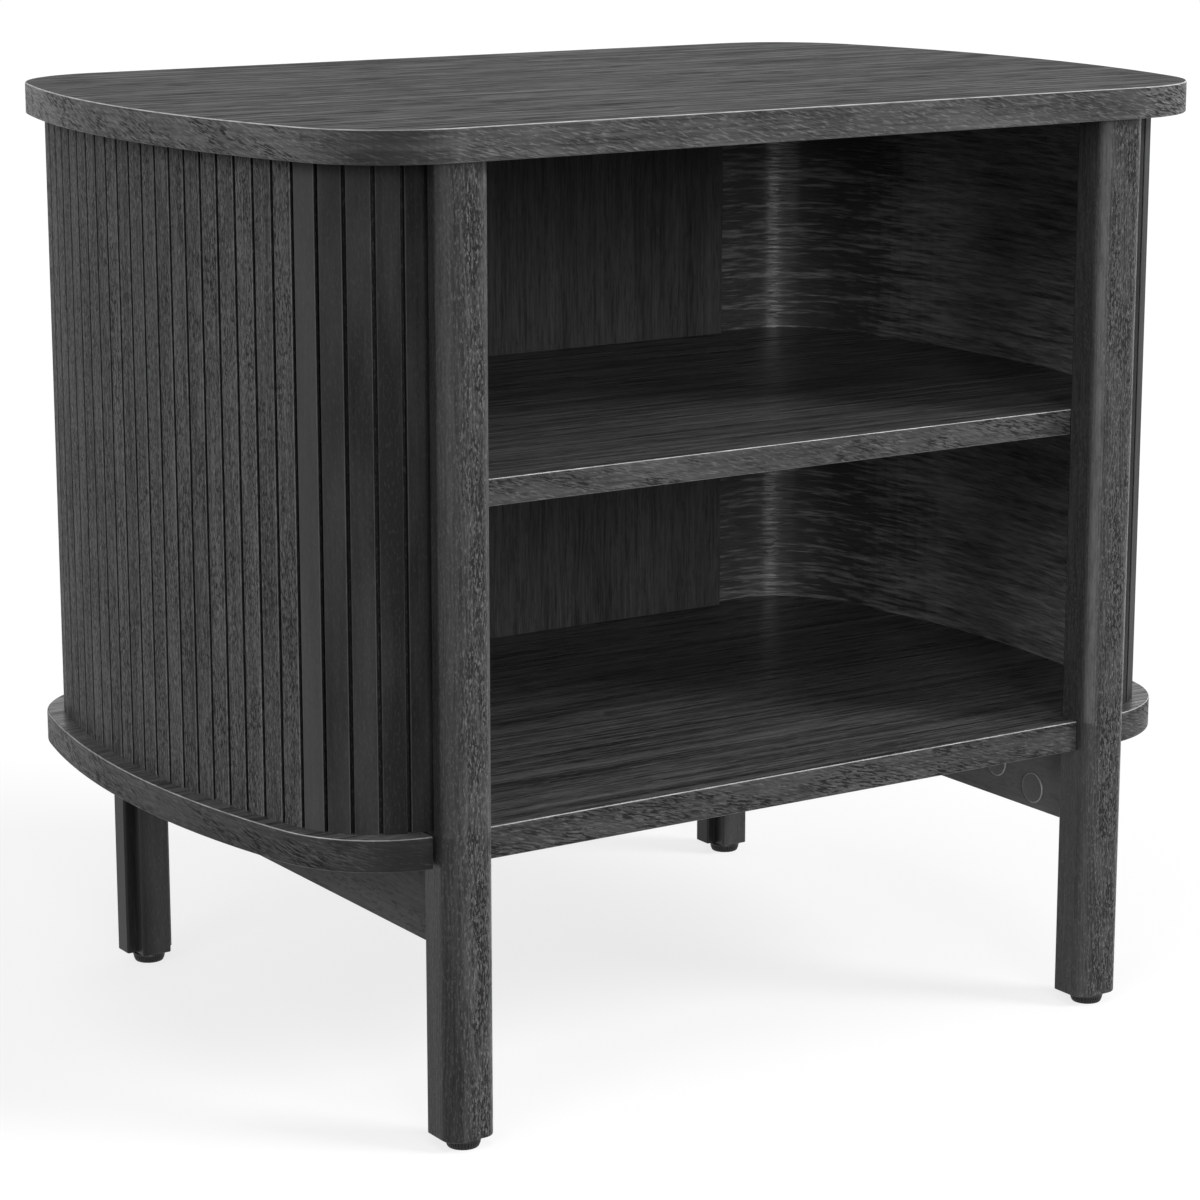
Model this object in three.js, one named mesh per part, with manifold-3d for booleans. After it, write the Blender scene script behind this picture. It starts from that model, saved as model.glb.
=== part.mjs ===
// Open-shelf nightstand: bowed top and base boards, two open cubbies, slatted curved side
// walls, full-height front posts, short rear legs, side rails and four levelling feet.
// Millimetres, +Z up, front towards -Y. The origin is on the floor under the middle of the top.
import * as THREE from 'three';
import { mergeVertices } from 'three/addons/utils/BufferGeometryUtils.js';
import Module from 'manifold-3d';

const wasm = await Module();
wasm.setup();

// Overall size and boards
const OVERALL_HEIGHT = 520;
const TOP_WIDTH = 600;
const TOP_DEPTH = 400;
const BOARD_THICKNESS = 17;
const TOP_BOW_RADIUS = 560;
const TOP_CORNER_RADIUS = 65;
const BASE_UNDERSIDE_HEIGHT = 150;
const BASE_SIDE_SETBACK = 1;
const BASE_FRONT_SETBACK = 15;
const BASE_BACK_SETBACK = 5;
const BASE_BOW_RADIUS = 572;
const BASE_CORNER_RADIUS = 68;
const SHELF_THICKNESS = 14;
const EDGE_ROUND = 0.8;

// Curved side walls
const WALL_SETBACK = 9.5;
const SKIN_THICKNESS = 5;
const SHELL_THICKNESS = 4;
const SLAT_COUNT = 33;
const GROOVE_WIDTH = 2.2;
const GROOVE_DEPTH = 3.6;
const BACK_PANEL_THICKNESS = 9;
const BACK_PANEL_MARGIN = 20;
const RETURN_LAP = 26;
const WALL_GROOVE_DEPTH = 3;

// Legs and rails
const LEG_WIDTH = 29;
const LEG_DEPTH = 23;
const LEG_FRONT_SETBACK = 5.5;
const REAR_LEG_SETBACK = 6.5;
const POST_CORNER_RADIUS = 8;
const LEG_EDGE_RADIUS = 1.2;
const RABBET_WIDTH = 5.5;
const RABBET_DEPTH = 10;
const NOTCH_CLEARANCE = 0.5;
const NOTCH_OUTER_CLEARANCE = 2.5;
const RAIL_THICKNESS = 17;
const RAIL_HEIGHT = 45;

// Rail fittings: a cam that holds the leg's bolt and a cam that holds the base board's bolt
const CAM_RADIUS = 7.5;
const CAM_DEPTH = 12.5;
const CAM_RIM_RADIUS = 9;
const CAM_RIM_THICKNESS = 1;
const LEG_CAM_FROM_END = 30;
const LEG_CAM_ABOVE_EDGE = 12.5;
const BASE_CAM_FROM_END = 63;
const BASE_CAM_BELOW_EDGE = 24;
const BOLT_RADIUS = 2.9;
const BOLT_NECK_RADIUS = 1.8;
const BOLT_HEAD_LENGTH = 3;
const BOLT_GRIP = 11;

// Dowels
const LEG_DOWEL_RADIUS = 4;
const LEG_DOWEL_IN_BOARD = 11;
const LEG_DOWEL_IN_LEG = 18;
const SHELF_DOWEL_RADIUS = 3;
const SHELF_DOWEL_IN_SHELF = 16;
const SHELF_DOWEL_IN_POST = 10;
const SHELF_DOWEL_IN_PANEL = 6;

// Levelling feet
const FOOT_HEIGHT = 6;
const PAD_RADIUS = 9.5;
const PAD_SOLE_RADIUS = 8.6;
const PAD_SOLE_HEIGHT = 1.2;
const PAD_COLLAR_RADIUS = 6.5;
const PAD_COLLAR_HEIGHT = 0.5;
const PAD_RIB_COUNT = 18;
const PAD_RIB_DEPTH = 0.7;
const STUD_RADIUS = 3;
const STUD_HEAD_RADIUS = 4.2;
const STUD_HEAD_HEIGHT = 1.6;
const STUD_LENGTH = 26;
const NUT_RADIUS = 5;
const NUT_LENGTH = 13;

// Clearances and facets
const REST_GAP = 0.3;
const HOLE_END_GAP = 0.6;
const BOLT_CLEARANCE = 0.7;
const WALL_START_GAP = 0.5;
const WALL_START_STUB = 1;
const ARC_SEGMENTS = 5;
const ROUND_SEGMENTS = 12;
const CAM_SEGMENTS = 16;
const CUT_MARGIN = 2;

// Heights that follow from the sizes above
const topUnderside = OVERALL_HEIGHT - BOARD_THICKNESS;
const baseTop = BASE_UNDERSIDE_HEIGHT + BOARD_THICKNESS;
const shelfMiddle = (baseTop + topUnderside) / 2;
const shelfUnderside = shelfMiddle - SHELF_THICKNESS / 2;
const shelfTop = shelfMiddle + SHELF_THICKNESS / 2;
const railUnderside = BASE_UNDERSIDE_HEIGHT - RAIL_HEIGHT;
const shellFoot = baseTop - WALL_GROOVE_DEPTH;
const shellHead = topUnderside + WALL_GROOVE_DEPTH;
const wallThickness = SKIN_THICKNESS + REST_GAP + SHELL_THICKNESS;

// A board outline seen from above: straight front and back, sides bowed outwards in one wide
// arc, and corner arcs that meet the side arc and the straight edges without a kink.
function bowedOutline(halfWidth, front, back, bowRadius, cornerRadius) {
  const middle = (front + back) / 2;
  const cornerRise = (back - front) / 2 - cornerRadius;
  const bowX = halfWidth - bowRadius;
  const cornerX = bowX + Math.sqrt((bowRadius - cornerRadius) ** 2 - cornerRise ** 2);
  const bowAngle = Math.asin(cornerRise / (bowRadius - cornerRadius));
  return { halfWidth, front, back, middle, bowRadius, cornerRadius, bowX, cornerX, bowAngle };
}

function inset(outline, distance) {
  return bowedOutline(
    outline.halfWidth - distance,
    outline.front + distance,
    outline.back - distance,
    outline.bowRadius - distance,
    outline.cornerRadius - distance,
  );
}

function outlineShape(o) {
  const quarter = Math.PI / 2;
  const frontY = o.front + o.cornerRadius;
  const backY = o.back - o.cornerRadius;
  const shape = new THREE.Shape();
  shape.absarc(o.cornerX, frontY, o.cornerRadius, -quarter, -o.bowAngle);
  shape.absarc(o.bowX, o.middle, o.bowRadius, -o.bowAngle, o.bowAngle);
  shape.absarc(o.cornerX, backY, o.cornerRadius, o.bowAngle, quarter);
  shape.absarc(-o.cornerX, backY, o.cornerRadius, quarter, 2 * quarter - o.bowAngle);
  shape.absarc(-o.bowX, o.middle, o.bowRadius, 2 * quarter - o.bowAngle, 2 * quarter + o.bowAngle);
  shape.absarc(-o.cornerX, frontY, o.cornerRadius, 2 * quarter + o.bowAngle, 3 * quarter);
  return shape;
}

// Plans of the boards, the wall's outer face and the room inside the walls
const topOutline = bowedOutline(
  TOP_WIDTH / 2, -TOP_DEPTH / 2, TOP_DEPTH / 2, TOP_BOW_RADIUS, TOP_CORNER_RADIUS,
);
const baseOutline = bowedOutline(
  TOP_WIDTH / 2 - BASE_SIDE_SETBACK,
  -TOP_DEPTH / 2 + BASE_FRONT_SETBACK,
  TOP_DEPTH / 2 - BASE_BACK_SETBACK,
  BASE_BOW_RADIUS,
  BASE_CORNER_RADIUS,
);
const wallOutline = inset(baseOutline, WALL_SETBACK);
const roomOutline = inset(wallOutline, wallThickness);

// Places in plan that several pieces share
const rabbetX = wallOutline.cornerX + WALL_START_STUB;
const legOuterX = rabbetX + RABBET_WIDTH;
const legInnerX = legOuterX - LEG_WIDTH;
const legCentreX = (legOuterX + legInnerX) / 2;
const postFrontY = -TOP_DEPTH / 2 + LEG_FRONT_SETBACK;
const postBackY = postFrontY + LEG_DEPTH;
const rearLegBackY = baseOutline.back - REAR_LEG_SETBACK;
const rearLegFrontY = rearLegBackY - LEG_DEPTH;
const panelBackY = roomOutline.back;
const panelFrontY = panelBackY - BACK_PANEL_THICKNESS;
const panelHalfWidth = wallOutline.cornerX - BACK_PANEL_MARGIN;
const returnEndX = panelHalfWidth - RETURN_LAP;
const shelfFrontY = postBackY + REST_GAP;
const notchInnerX = legInnerX - NOTCH_CLEARANCE;
const notchOuterX = legOuterX + NOTCH_OUTER_CLEARANCE;
const railInnerX = legCentreX - RAIL_THICKNESS / 2;

const sides = [{ name: 'left', sign: -1 }, { name: 'right', sign: 1 }];

// Basic solids
function toSolid(geometry) {
  geometry.deleteAttribute('normal');
  geometry.deleteAttribute('uv');
  const merged = mergeVertices(geometry, 1e-5);
  return new wasm.Manifold(new wasm.Mesh({
    numProp: 3,
    vertProperties: new Float32Array(merged.attributes.position.array),
    triVerts: new Uint32Array(merged.index.array),
  }));
}

function toGeometry(solid) {
  const mesh = solid.getMesh();
  const geometry = new THREE.BufferGeometry();
  geometry.setAttribute('position', new THREE.BufferAttribute(mesh.vertProperties, 3));
  geometry.setIndex(new THREE.BufferAttribute(mesh.triVerts, 1));
  geometry.computeVertexNormals();
  return geometry;
}

function extruded(shape, low, high, edgeRound = 0) {
  const geometry = new THREE.ExtrudeGeometry(shape, {
    depth: high - low - 2 * edgeRound,
    curveSegments: ARC_SEGMENTS,
    bevelEnabled: edgeRound > 0,
    bevelThickness: edgeRound,
    bevelSize: edgeRound,
    bevelOffset: -edgeRound,
    bevelSegments: 2,
  });
  geometry.translate(0, 0, low + edgeRound);
  return toSolid(geometry);
}

function box(xLow, xHigh, yLow, yHigh, zLow, zHigh) {
  const geometry = new THREE.BoxGeometry(xHigh - xLow, yHigh - yLow, zHigh - zLow);
  geometry.translate((xLow + xHigh) / 2, (yLow + yHigh) / 2, (zLow + zHigh) / 2);
  return toSolid(geometry);
}

// A box on one side of the middle plane, given by its distances from that plane
function sideBox(sign, near, far, yLow, yHigh, zLow, zHigh) {
  const low = Math.min(sign * near, sign * far);
  const high = Math.max(sign * near, sign * far);
  return box(low, high, yLow, yHigh, zLow, zHigh);
}

// A solid of revolution from (radius, height) pairs, set up from a point along a direction
function turned(profile, start, direction, segments = ROUND_SEGMENTS) {
  const points = profile.map(([radius, height]) => new THREE.Vector2(radius, height));
  const geometry = new THREE.LatheGeometry(points, segments);
  const turn = new THREE.Quaternion().setFromUnitVectors(new THREE.Vector3(0, 1, 0), direction);
  geometry.applyQuaternion(turn);
  geometry.translate(start.x, start.y, start.z);
  return toSolid(geometry);
}

function rod(radius, start, direction, length, segments = ROUND_SEGMENTS) {
  return turned([[0, 0], [radius, 0], [radius, length], [0, length]], start, direction, segments);
}

const UP = new THREE.Vector3(0, 0, 1);
const DOWN = new THREE.Vector3(0, 0, -1);
const FORWARD = new THREE.Vector3(0, -1, 0);
const BACKWARD = new THREE.Vector3(0, 1, 0);

function across(sign) {
  return new THREE.Vector3(sign, 0, 0);
}

// Finishes
const stainedTop = { color: 0x474747, roughness: 0.5, metalness: 0 };
const stainedEdge = { color: 0x3c3c3c, roughness: 0.55, metalness: 0 };
const stainedPost = { color: 0x444444, roughness: 0.5, metalness: 0 };
const innerVeneer = { color: 0x202020, roughness: 0.45, metalness: 0 };
const darkCap = { color: 0x2a2a2a, roughness: 0.4, metalness: 0 };
const blackPlastic = { color: 0x141414, roughness: 0.45, metalness: 0 };
const zincSteel = { color: 0xb4b6b8, roughness: 0.35, metalness: 0.9 };
const beech = { color: 0xc49a6a, roughness: 0.7, metalness: 0 };

const nightstand = new THREE.Group();

function addPiece(name, solid, finish) {
  const mesh = new THREE.Mesh(toGeometry(solid), new THREE.MeshStandardMaterial(finish));
  mesh.name = name;
  nightstand.add(mesh);
}

// Every fixing is one record: the piece itself and the holes that it needs in its neighbours
function legBoltStart(sign, atFront) {
  const inwards = atFront ? LEG_CAM_FROM_END : -LEG_CAM_FROM_END;
  const railEndY = atFront ? postBackY : rearLegFrontY;
  return new THREE.Vector3(sign * legCentreX, railEndY + inwards, railUnderside + LEG_CAM_ABOVE_EDGE);
}

function baseBoltStart(sign, atFront) {
  const inwards = atFront ? BASE_CAM_FROM_END : -BASE_CAM_FROM_END;
  const railEndY = atFront ? postBackY : rearLegFrontY;
  const height = BASE_UNDERSIDE_HEIGHT - BASE_CAM_BELOW_EDGE;
  return new THREE.Vector3(sign * legCentreX, railEndY + inwards, height);
}

function railFittings() {
  const fittings = [];
  for (const { name: sideName, sign } of sides) {
    for (const atFront of [true, false]) {
      const endName = atFront ? 'front' : 'rear';
      fittings.push({
        name: `${sideName}_${endName}_leg`,
        sign,
        centre: legBoltStart(sign, atFront),
        direction: atFront ? FORWARD : BACKWARD,
        reach: LEG_CAM_FROM_END,
      });
      fittings.push({
        name: `${sideName}_${endName}_base`,
        sign,
        centre: baseBoltStart(sign, atFront),
        direction: UP,
        reach: BASE_CAM_BELOW_EDGE,
      });
    }
  }
  return fittings;
}

const fittings = railFittings();

// The bolt's head lies in the middle of the cam and its far end is screwed into the next piece
function boltSolid({ centre, direction, reach }) {
  const headStart = -BOLT_HEAD_LENGTH / 2;
  const neckEnd = BOLT_HEAD_LENGTH / 2 + BOLT_HEAD_LENGTH;
  const tip = reach + BOLT_GRIP;
  const profile = [
    [0, headStart],
    [BOLT_RADIUS, headStart],
    [BOLT_RADIUS, BOLT_HEAD_LENGTH / 2],
    [BOLT_NECK_RADIUS, BOLT_HEAD_LENGTH / 2],
    [BOLT_NECK_RADIUS, neckEnd],
    [BOLT_RADIUS, neckEnd],
    [BOLT_RADIUS, tip - BOLT_NECK_RADIUS],
    [0, tip],
  ];
  return turned(profile, centre, direction);
}

function boltChannel({ centre, direction, reach }) {
  const start = centre.clone().addScaledVector(direction, -BOLT_HEAD_LENGTH);
  return rod(BOLT_RADIUS + BOLT_CLEARANCE, start, direction, reach + BOLT_HEAD_LENGTH);
}

function boltSocket({ centre, direction, reach }) {
  const start = centre.clone().addScaledVector(direction, reach - CUT_MARGIN);
  const length = BOLT_GRIP + HOLE_END_GAP + CUT_MARGIN;
  return rod(BOLT_RADIUS + REST_GAP, start, direction, length);
}

// A cam is a drum let into the rail's inner face, with a wider rim that lies on that face
function camSolid(fitting) {
  const { sign, centre } = fitting;
  const face = new THREE.Vector3(sign * railInnerX, centre.y, centre.z);
  const profile = [
    [0, -CAM_RIM_THICKNESS],
    [CAM_RIM_RADIUS - CAM_RIM_THICKNESS / 2, -CAM_RIM_THICKNESS],
    [CAM_RIM_RADIUS, -CAM_RIM_THICKNESS / 2],
    [CAM_RIM_RADIUS, 0],
    [CAM_RADIUS, 0],
    [CAM_RADIUS, CAM_DEPTH],
    [0, CAM_DEPTH],
  ];
  return turned(profile, face, across(sign), CAM_SEGMENTS).subtract(boltChannel(fitting));
}

function camPocket({ sign, centre }) {
  const start = new THREE.Vector3(sign * (railInnerX - CUT_MARGIN), centre.y, centre.z);
  const depth = CAM_DEPTH + REST_GAP + CUT_MARGIN;
  return rod(CAM_RADIUS + REST_GAP, start, across(sign), depth, CAM_SEGMENTS);
}

// Dowels: each joins two faces that meet, and both sides get a hole with room at its end
function dowelSolid({ centre, direction, radius, ahead, behind }) {
  const start = centre.clone().addScaledVector(direction, -behind);
  return rod(radius, start, direction, ahead + behind);
}

function dowelHole({ centre, direction, radius, ahead, behind }) {
  const start = centre.clone().addScaledVector(direction, -behind - HOLE_END_GAP);
  const length = ahead + behind + 2 * HOLE_END_GAP;
  return rod(radius + REST_GAP, start, direction, length);
}

function legDowel(sign, atFront) {
  const y = atFront ? (postFrontY + postBackY) / 2 : (rearLegFrontY + rearLegBackY) / 2;
  const z = atFront ? topUnderside : BASE_UNDERSIDE_HEIGHT;
  return {
    centre: new THREE.Vector3(sign * legCentreX, y, z),
    direction: UP,
    radius: LEG_DOWEL_RADIUS,
    ahead: LEG_DOWEL_IN_BOARD,
    behind: LEG_DOWEL_IN_LEG,
  };
}

function shelfDowel(sign, atFront) {
  const panelX = panelHalfWidth - BACK_PANEL_MARGIN;
  const x = atFront ? legCentreX : panelX;
  const y = atFront ? postBackY : panelFrontY;
  return {
    centre: new THREE.Vector3(sign * x, y, shelfMiddle),
    direction: atFront ? FORWARD : BACKWARD,
    radius: SHELF_DOWEL_RADIUS,
    ahead: atFront ? SHELF_DOWEL_IN_POST : SHELF_DOWEL_IN_PANEL,
    behind: SHELF_DOWEL_IN_SHELF,
  };
}

// Boards. The top's underside and the base's upper face are grooved for the walls.
function makeTopBoard() {
  let board = extruded(outlineShape(topOutline), topUnderside, OVERALL_HEIGHT, EDGE_ROUND)
    .subtract(wallGroove(topUnderside - CUT_MARGIN, shellHead));
  for (const { sign } of sides) {
    board = board.subtract(dowelHole(legDowel(sign, true)));
  }
  addPiece('top_board', board, stainedTop);
}

// The front posts stand in notches of the base board's front edge
function makeBaseBoard() {
  let board = extruded(outlineShape(baseOutline), BASE_UNDERSIDE_HEIGHT, baseTop, EDGE_ROUND)
    .subtract(wallGroove(shellFoot, baseTop + CUT_MARGIN));
  for (const { sign } of sides) {
    const notch = sideBox(
      sign,
      notchInnerX,
      notchOuterX,
      baseOutline.front - CUT_MARGIN,
      postBackY + NOTCH_CLEARANCE,
      BASE_UNDERSIDE_HEIGHT - CUT_MARGIN,
      baseTop + CUT_MARGIN,
    );
    board = board.subtract(notch).subtract(dowelHole(legDowel(sign, false)));
  }
  for (const fitting of fittings) {
    if (fitting.direction === UP) board = board.subtract(boltSocket(fitting));
  }
  addPiece('base_board', board, stainedTop);
}

// The shelf fills the room inside the walls, reaches forward to the posts and is cut away
// behind for the back panel
function makeShelf() {
  const shelfOutline = inset(roomOutline, REST_GAP);
  const filling = extruded(outlineShape(shelfOutline), shelfUnderside, shelfTop);
  const frontStrip = box(
    -rabbetX, rabbetX, shelfFrontY, shelfOutline.middle, shelfUnderside, shelfTop,
  );
  const cutLow = shelfUnderside - CUT_MARGIN;
  const cutHigh = shelfTop + CUT_MARGIN;
  const frontCut = box(
    -rabbetX, rabbetX, wallOutline.front - CUT_MARGIN, shelfFrontY, cutLow, cutHigh,
  );
  const panelCut = box(
    -panelHalfWidth - REST_GAP,
    panelHalfWidth + REST_GAP,
    panelFrontY,
    wallOutline.back + CUT_MARGIN,
    cutLow,
    cutHigh,
  );
  let shelf = filling.add(frontStrip).subtract(frontCut).subtract(panelCut);
  for (const { sign } of sides) {
    shelf = shelf.subtract(dowelHole(shelfDowel(sign, true)));
    shelf = shelf.subtract(dowelHole(shelfDowel(sign, false)));
  }
  addPiece('middle_shelf', shelf, innerVeneer);
}

function makeBackPanel() {
  let panel = box(
    -panelHalfWidth, panelHalfWidth, panelFrontY, panelBackY, shellFoot, shellHead,
  );
  for (const { sign } of sides) {
    panel = panel.subtract(dowelHole(shelfDowel(sign, false)));
  }
  addPiece('back_panel', panel, innerVeneer);
}

// The route of a curved wall in plan, along its outer face: front corner arc, bowed side,
// back corner arc and a straight return that ends behind the back panel
function wallRoute() {
  const { cornerX, cornerRadius, bowX, bowRadius, bowAngle, middle, front, back } = wallOutline;
  const quarter = Math.PI / 2;
  const startAngle = -quarter + Math.asin((rabbetX + WALL_START_GAP - cornerX) / cornerRadius);
  const arcs = [
    { x: cornerX, y: front + cornerRadius, radius: cornerRadius, from: startAngle, to: -bowAngle },
    { x: bowX, y: middle, radius: bowRadius, from: -bowAngle, to: bowAngle },
    { x: cornerX, y: back - cornerRadius, radius: cornerRadius, from: bowAngle, to: quarter },
  ];
  const arcLengths = arcs.map((arc) => arc.radius * (arc.to - arc.from));
  const length = arcLengths.reduce((sum, part) => sum + part, 0) + cornerX - returnEndX;

  // The point at a distance along the outer face, moved inwards by a depth
  function at(distance, depth) {
    let rest = distance;
    for (const [index, arc] of arcs.entries()) {
      if (rest <= arcLengths[index]) {
        const angle = arc.from + rest / arc.radius;
        const radius = arc.radius - depth;
        return [arc.x + radius * Math.cos(angle), arc.y + radius * Math.sin(angle)];
      }
      rest -= arcLengths[index];
    }
    return [cornerX - rest, back - depth];
  }

  // True on the two corner arcs, where a curve needs its points closer together
  function isTight(distance) {
    const bowStart = arcLengths[0];
    const bowEnd = bowStart + arcLengths[1];
    return distance < bowStart || (distance > bowEnd && distance < bowEnd + arcLengths[2]);
  }
  return { length, at, isTight };
}

const route = wallRoute();
const slatPitch = route.length / SLAT_COUNT;

function shapeFrom(points, sign) {
  return new THREE.Shape(points.map(([x, y]) => new THREE.Vector2(sign * x, y)));
}

// Points along the route at one depth: between all slats, and on the corners at their middles
function routePoints(depth) {
  const points = [];
  for (let step = 0; step <= 2 * SLAT_COUNT; step += 1) {
    const distance = (step * slatPitch) / 2;
    if (step % 2 === 0 || route.isTight(distance)) points.push(route.at(distance, depth));
  }
  return points;
}

// Flat slats stand on a thin web, which bends at the grooves between them
function slattedSkinShape(sign) {
  const outer = [];
  for (let slat = 0; slat < SLAT_COUNT; slat += 1) {
    const isFirst = slat === 0;
    const isLast = slat === SLAT_COUNT - 1;
    const start = slat * slatPitch + (isFirst ? 0 : GROOVE_WIDTH / 2);
    const end = (slat + 1) * slatPitch - (isLast ? 0 : GROOVE_WIDTH / 2);
    if (!isFirst) outer.push(route.at(start, GROOVE_DEPTH));
    outer.push(route.at(start, 0));
    outer.push(route.at(end, 0));
    if (!isLast) outer.push(route.at(end, GROOVE_DEPTH));
  }
  return shapeFrom([...outer, ...routePoints(SKIN_THICKNESS).reverse()], sign);
}

function shellShape(sign) {
  const outer = routePoints(SKIN_THICKNESS + REST_GAP);
  const inner = routePoints(wallThickness);
  return shapeFrom([...outer, ...inner.reverse()], sign);
}

// The shells and the back panel stand in a groove, which opens into the notch of the post.
// The skin covers its outer side.
function shellGrooveShape(sign) {
  const outer = routePoints(SKIN_THICKNESS).filter(([x, y]) => x > notchOuterX || y > 0);
  const inner = routePoints(wallThickness + REST_GAP);
  const atNotch = [[rabbetX, postBackY], [notchOuterX, postBackY]];
  const atReturnEnd = [
    route.at(route.length + REST_GAP, SKIN_THICKNESS),
    route.at(route.length + REST_GAP, wallThickness + REST_GAP),
  ];
  return shapeFrom([...atNotch, ...outer, ...atReturnEnd, ...inner.reverse()], sign);
}

function wallGroove(low, high) {
  let groove = box(
    -panelHalfWidth - REST_GAP,
    panelHalfWidth + REST_GAP,
    panelFrontY - REST_GAP,
    panelBackY + REST_GAP,
    low,
    high,
  );
  for (const { sign } of sides) {
    groove = groove.add(extruded(shellGrooveShape(sign), low, high));
  }
  return groove;
}

function makeWalls() {
  for (const { name, sign } of sides) {
    const skin = extruded(slattedSkinShape(sign), baseTop, topUnderside);
    const shell = extruded(shellShape(sign), shellFoot, shellHead);
    addPiece(`${name}_slatted_skin`, skin, stainedPost);
    addPiece(`${name}_side_shell`, shell, innerVeneer);
  }
}

// A rectangle in plan with its own radius on the two front and the two back corners
function legShape(sign, yFront, yBack, frontRadius, backRadius) {
  const low = Math.min(sign * legInnerX, sign * legOuterX);
  const high = Math.max(sign * legInnerX, sign * legOuterX);
  const quarter = Math.PI / 2;
  const shape = new THREE.Shape();
  shape.absarc(low + frontRadius, yFront + frontRadius, frontRadius, 2 * quarter, 3 * quarter);
  shape.absarc(high - frontRadius, yFront + frontRadius, frontRadius, 3 * quarter, 4 * quarter);
  shape.absarc(high - backRadius, yBack - backRadius, backRadius, 0, quarter);
  shape.absarc(low + backRadius, yBack - backRadius, backRadius, quarter, 2 * quarter);
  return shape;
}

function footAxis(sign, atFront) {
  const y = atFront ? (postFrontY + postBackY) / 2 : (rearLegFrontY + rearLegBackY) / 2;
  return new THREE.Vector3(sign * legCentreX, y, 0);
}

function footHole(sign, atFront) {
  const start = footAxis(sign, atFront).setZ(FOOT_HEIGHT - CUT_MARGIN);
  const nutHole = rod(NUT_RADIUS + REST_GAP, start, UP, NUT_LENGTH + REST_GAP + CUT_MARGIN);
  const studTop = PAD_SOLE_HEIGHT + REST_GAP + STUD_HEAD_HEIGHT + STUD_LENGTH;
  const studLength = studTop + HOLE_END_GAP - FOOT_HEIGHT + CUT_MARGIN;
  return nutHole.add(rod(STUD_RADIUS + REST_GAP, start, UP, studLength));
}

function legFittingHoles(leg, sign, direction) {
  let holed = leg;
  for (const fitting of fittings) {
    if (fitting.sign === sign && fitting.direction === direction) {
      holed = holed.subtract(boltSocket(fitting));
    }
  }
  return holed;
}

// Front posts run up to the top board. Above the base board a rabbet along the outer back
// corner takes the end of the curved wall.
function makeFrontPosts() {
  for (const { name, sign } of sides) {
    const plan = legShape(sign, postFrontY, postBackY, POST_CORNER_RADIUS, LEG_EDGE_RADIUS);
    const rabbet = sideBox(
      sign,
      rabbetX,
      legOuterX + CUT_MARGIN,
      postBackY - RABBET_DEPTH,
      postBackY + CUT_MARGIN,
      baseTop,
      topUnderside + CUT_MARGIN,
    );
    const blank = extruded(plan, FOOT_HEIGHT, topUnderside).subtract(rabbet);
    const post = legFittingHoles(blank, sign, FORWARD)
      .subtract(footHole(sign, true))
      .subtract(dowelHole(legDowel(sign, true)))
      .subtract(dowelHole(shelfDowel(sign, true)));
    addPiece(`front_${name}_leg`, post, stainedPost);
  }
}

// Rear legs stop under the base board. Both front corners are rabbeted, so the section is a
// broad flange behind and a narrower web in front, as wide as the rail that meets it.
function makeRearLegs() {
  for (const { name, sign } of sides) {
    const plan = legShape(sign, rearLegFrontY, rearLegBackY, LEG_EDGE_RADIUS, LEG_EDGE_RADIUS);
    const low = FOOT_HEIGHT - CUT_MARGIN;
    const high = BASE_UNDERSIDE_HEIGHT + CUT_MARGIN;
    const frontY = rearLegFrontY - CUT_MARGIN;
    const stepY = rearLegFrontY + RABBET_DEPTH;
    const innerStep = legInnerX + RABBET_WIDTH;
    const outerStep = legOuterX - RABBET_WIDTH;
    const innerCut = sideBox(sign, legInnerX - CUT_MARGIN, innerStep, frontY, stepY, low, high);
    const outerCut = sideBox(sign, outerStep, legOuterX + CUT_MARGIN, frontY, stepY, low, high);
    const blank = extruded(plan, FOOT_HEIGHT, BASE_UNDERSIDE_HEIGHT)
      .subtract(innerCut)
      .subtract(outerCut);
    const leg = legFittingHoles(blank, sign, BACKWARD)
      .subtract(footHole(sign, false))
      .subtract(dowelHole(legDowel(sign, false)));
    addPiece(`rear_${name}_leg`, leg, stainedPost);
  }
}

function makeRails() {
  for (const { name, sign } of sides) {
    let rail = sideBox(
      sign,
      railInnerX,
      railInnerX + RAIL_THICKNESS,
      postBackY,
      rearLegFrontY,
      railUnderside,
      BASE_UNDERSIDE_HEIGHT,
    );
    for (const fitting of fittings) {
      if (fitting.sign === sign) {
        const channel = boltChannel({ ...fitting, reach: fitting.reach + CUT_MARGIN });
        rail = rail.subtract(camPocket(fitting)).subtract(channel);
      }
    }
    addPiece(`${name}_side_rail`, rail, stainedEdge);
  }
}

function makeFittings() {
  for (const fitting of fittings) {
    addPiece(`${fitting.name}_cam`, camSolid(fitting), darkCap);
    addPiece(`${fitting.name}_bolt`, boltSolid(fitting), zincSteel);
  }
}

function makeDowels() {
  for (const { name, sign } of sides) {
    for (const atFront of [true, false]) {
      const end = atFront ? 'front' : 'rear';
      addPiece(`${end}_${name}_leg_dowel`, dowelSolid(legDowel(sign, atFront)), beech);
      addPiece(`${end}_${name}_shelf_dowel`, dowelSolid(shelfDowel(sign, atFront)), beech);
    }
  }
}

// A pad's ribbed rim in plan: ribs and hollows of equal width round a circle
function ribbedShape() {
  const points = [];
  const step = (2 * Math.PI) / PAD_RIB_COUNT;
  for (let rib = 0; rib < PAD_RIB_COUNT; rib += 1) {
    const corners = [
      [PAD_RADIUS, 0], [PAD_RADIUS, 0.5], [PAD_RADIUS - PAD_RIB_DEPTH, 0.6],
      [PAD_RADIUS - PAD_RIB_DEPTH, 0.9],
    ];
    for (const [radius, share] of corners) {
      const angle = (rib + share) * step;
      points.push(new THREE.Vector2(radius * Math.cos(angle), radius * Math.sin(angle)));
    }
  }
  return new THREE.Shape(points);
}

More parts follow.
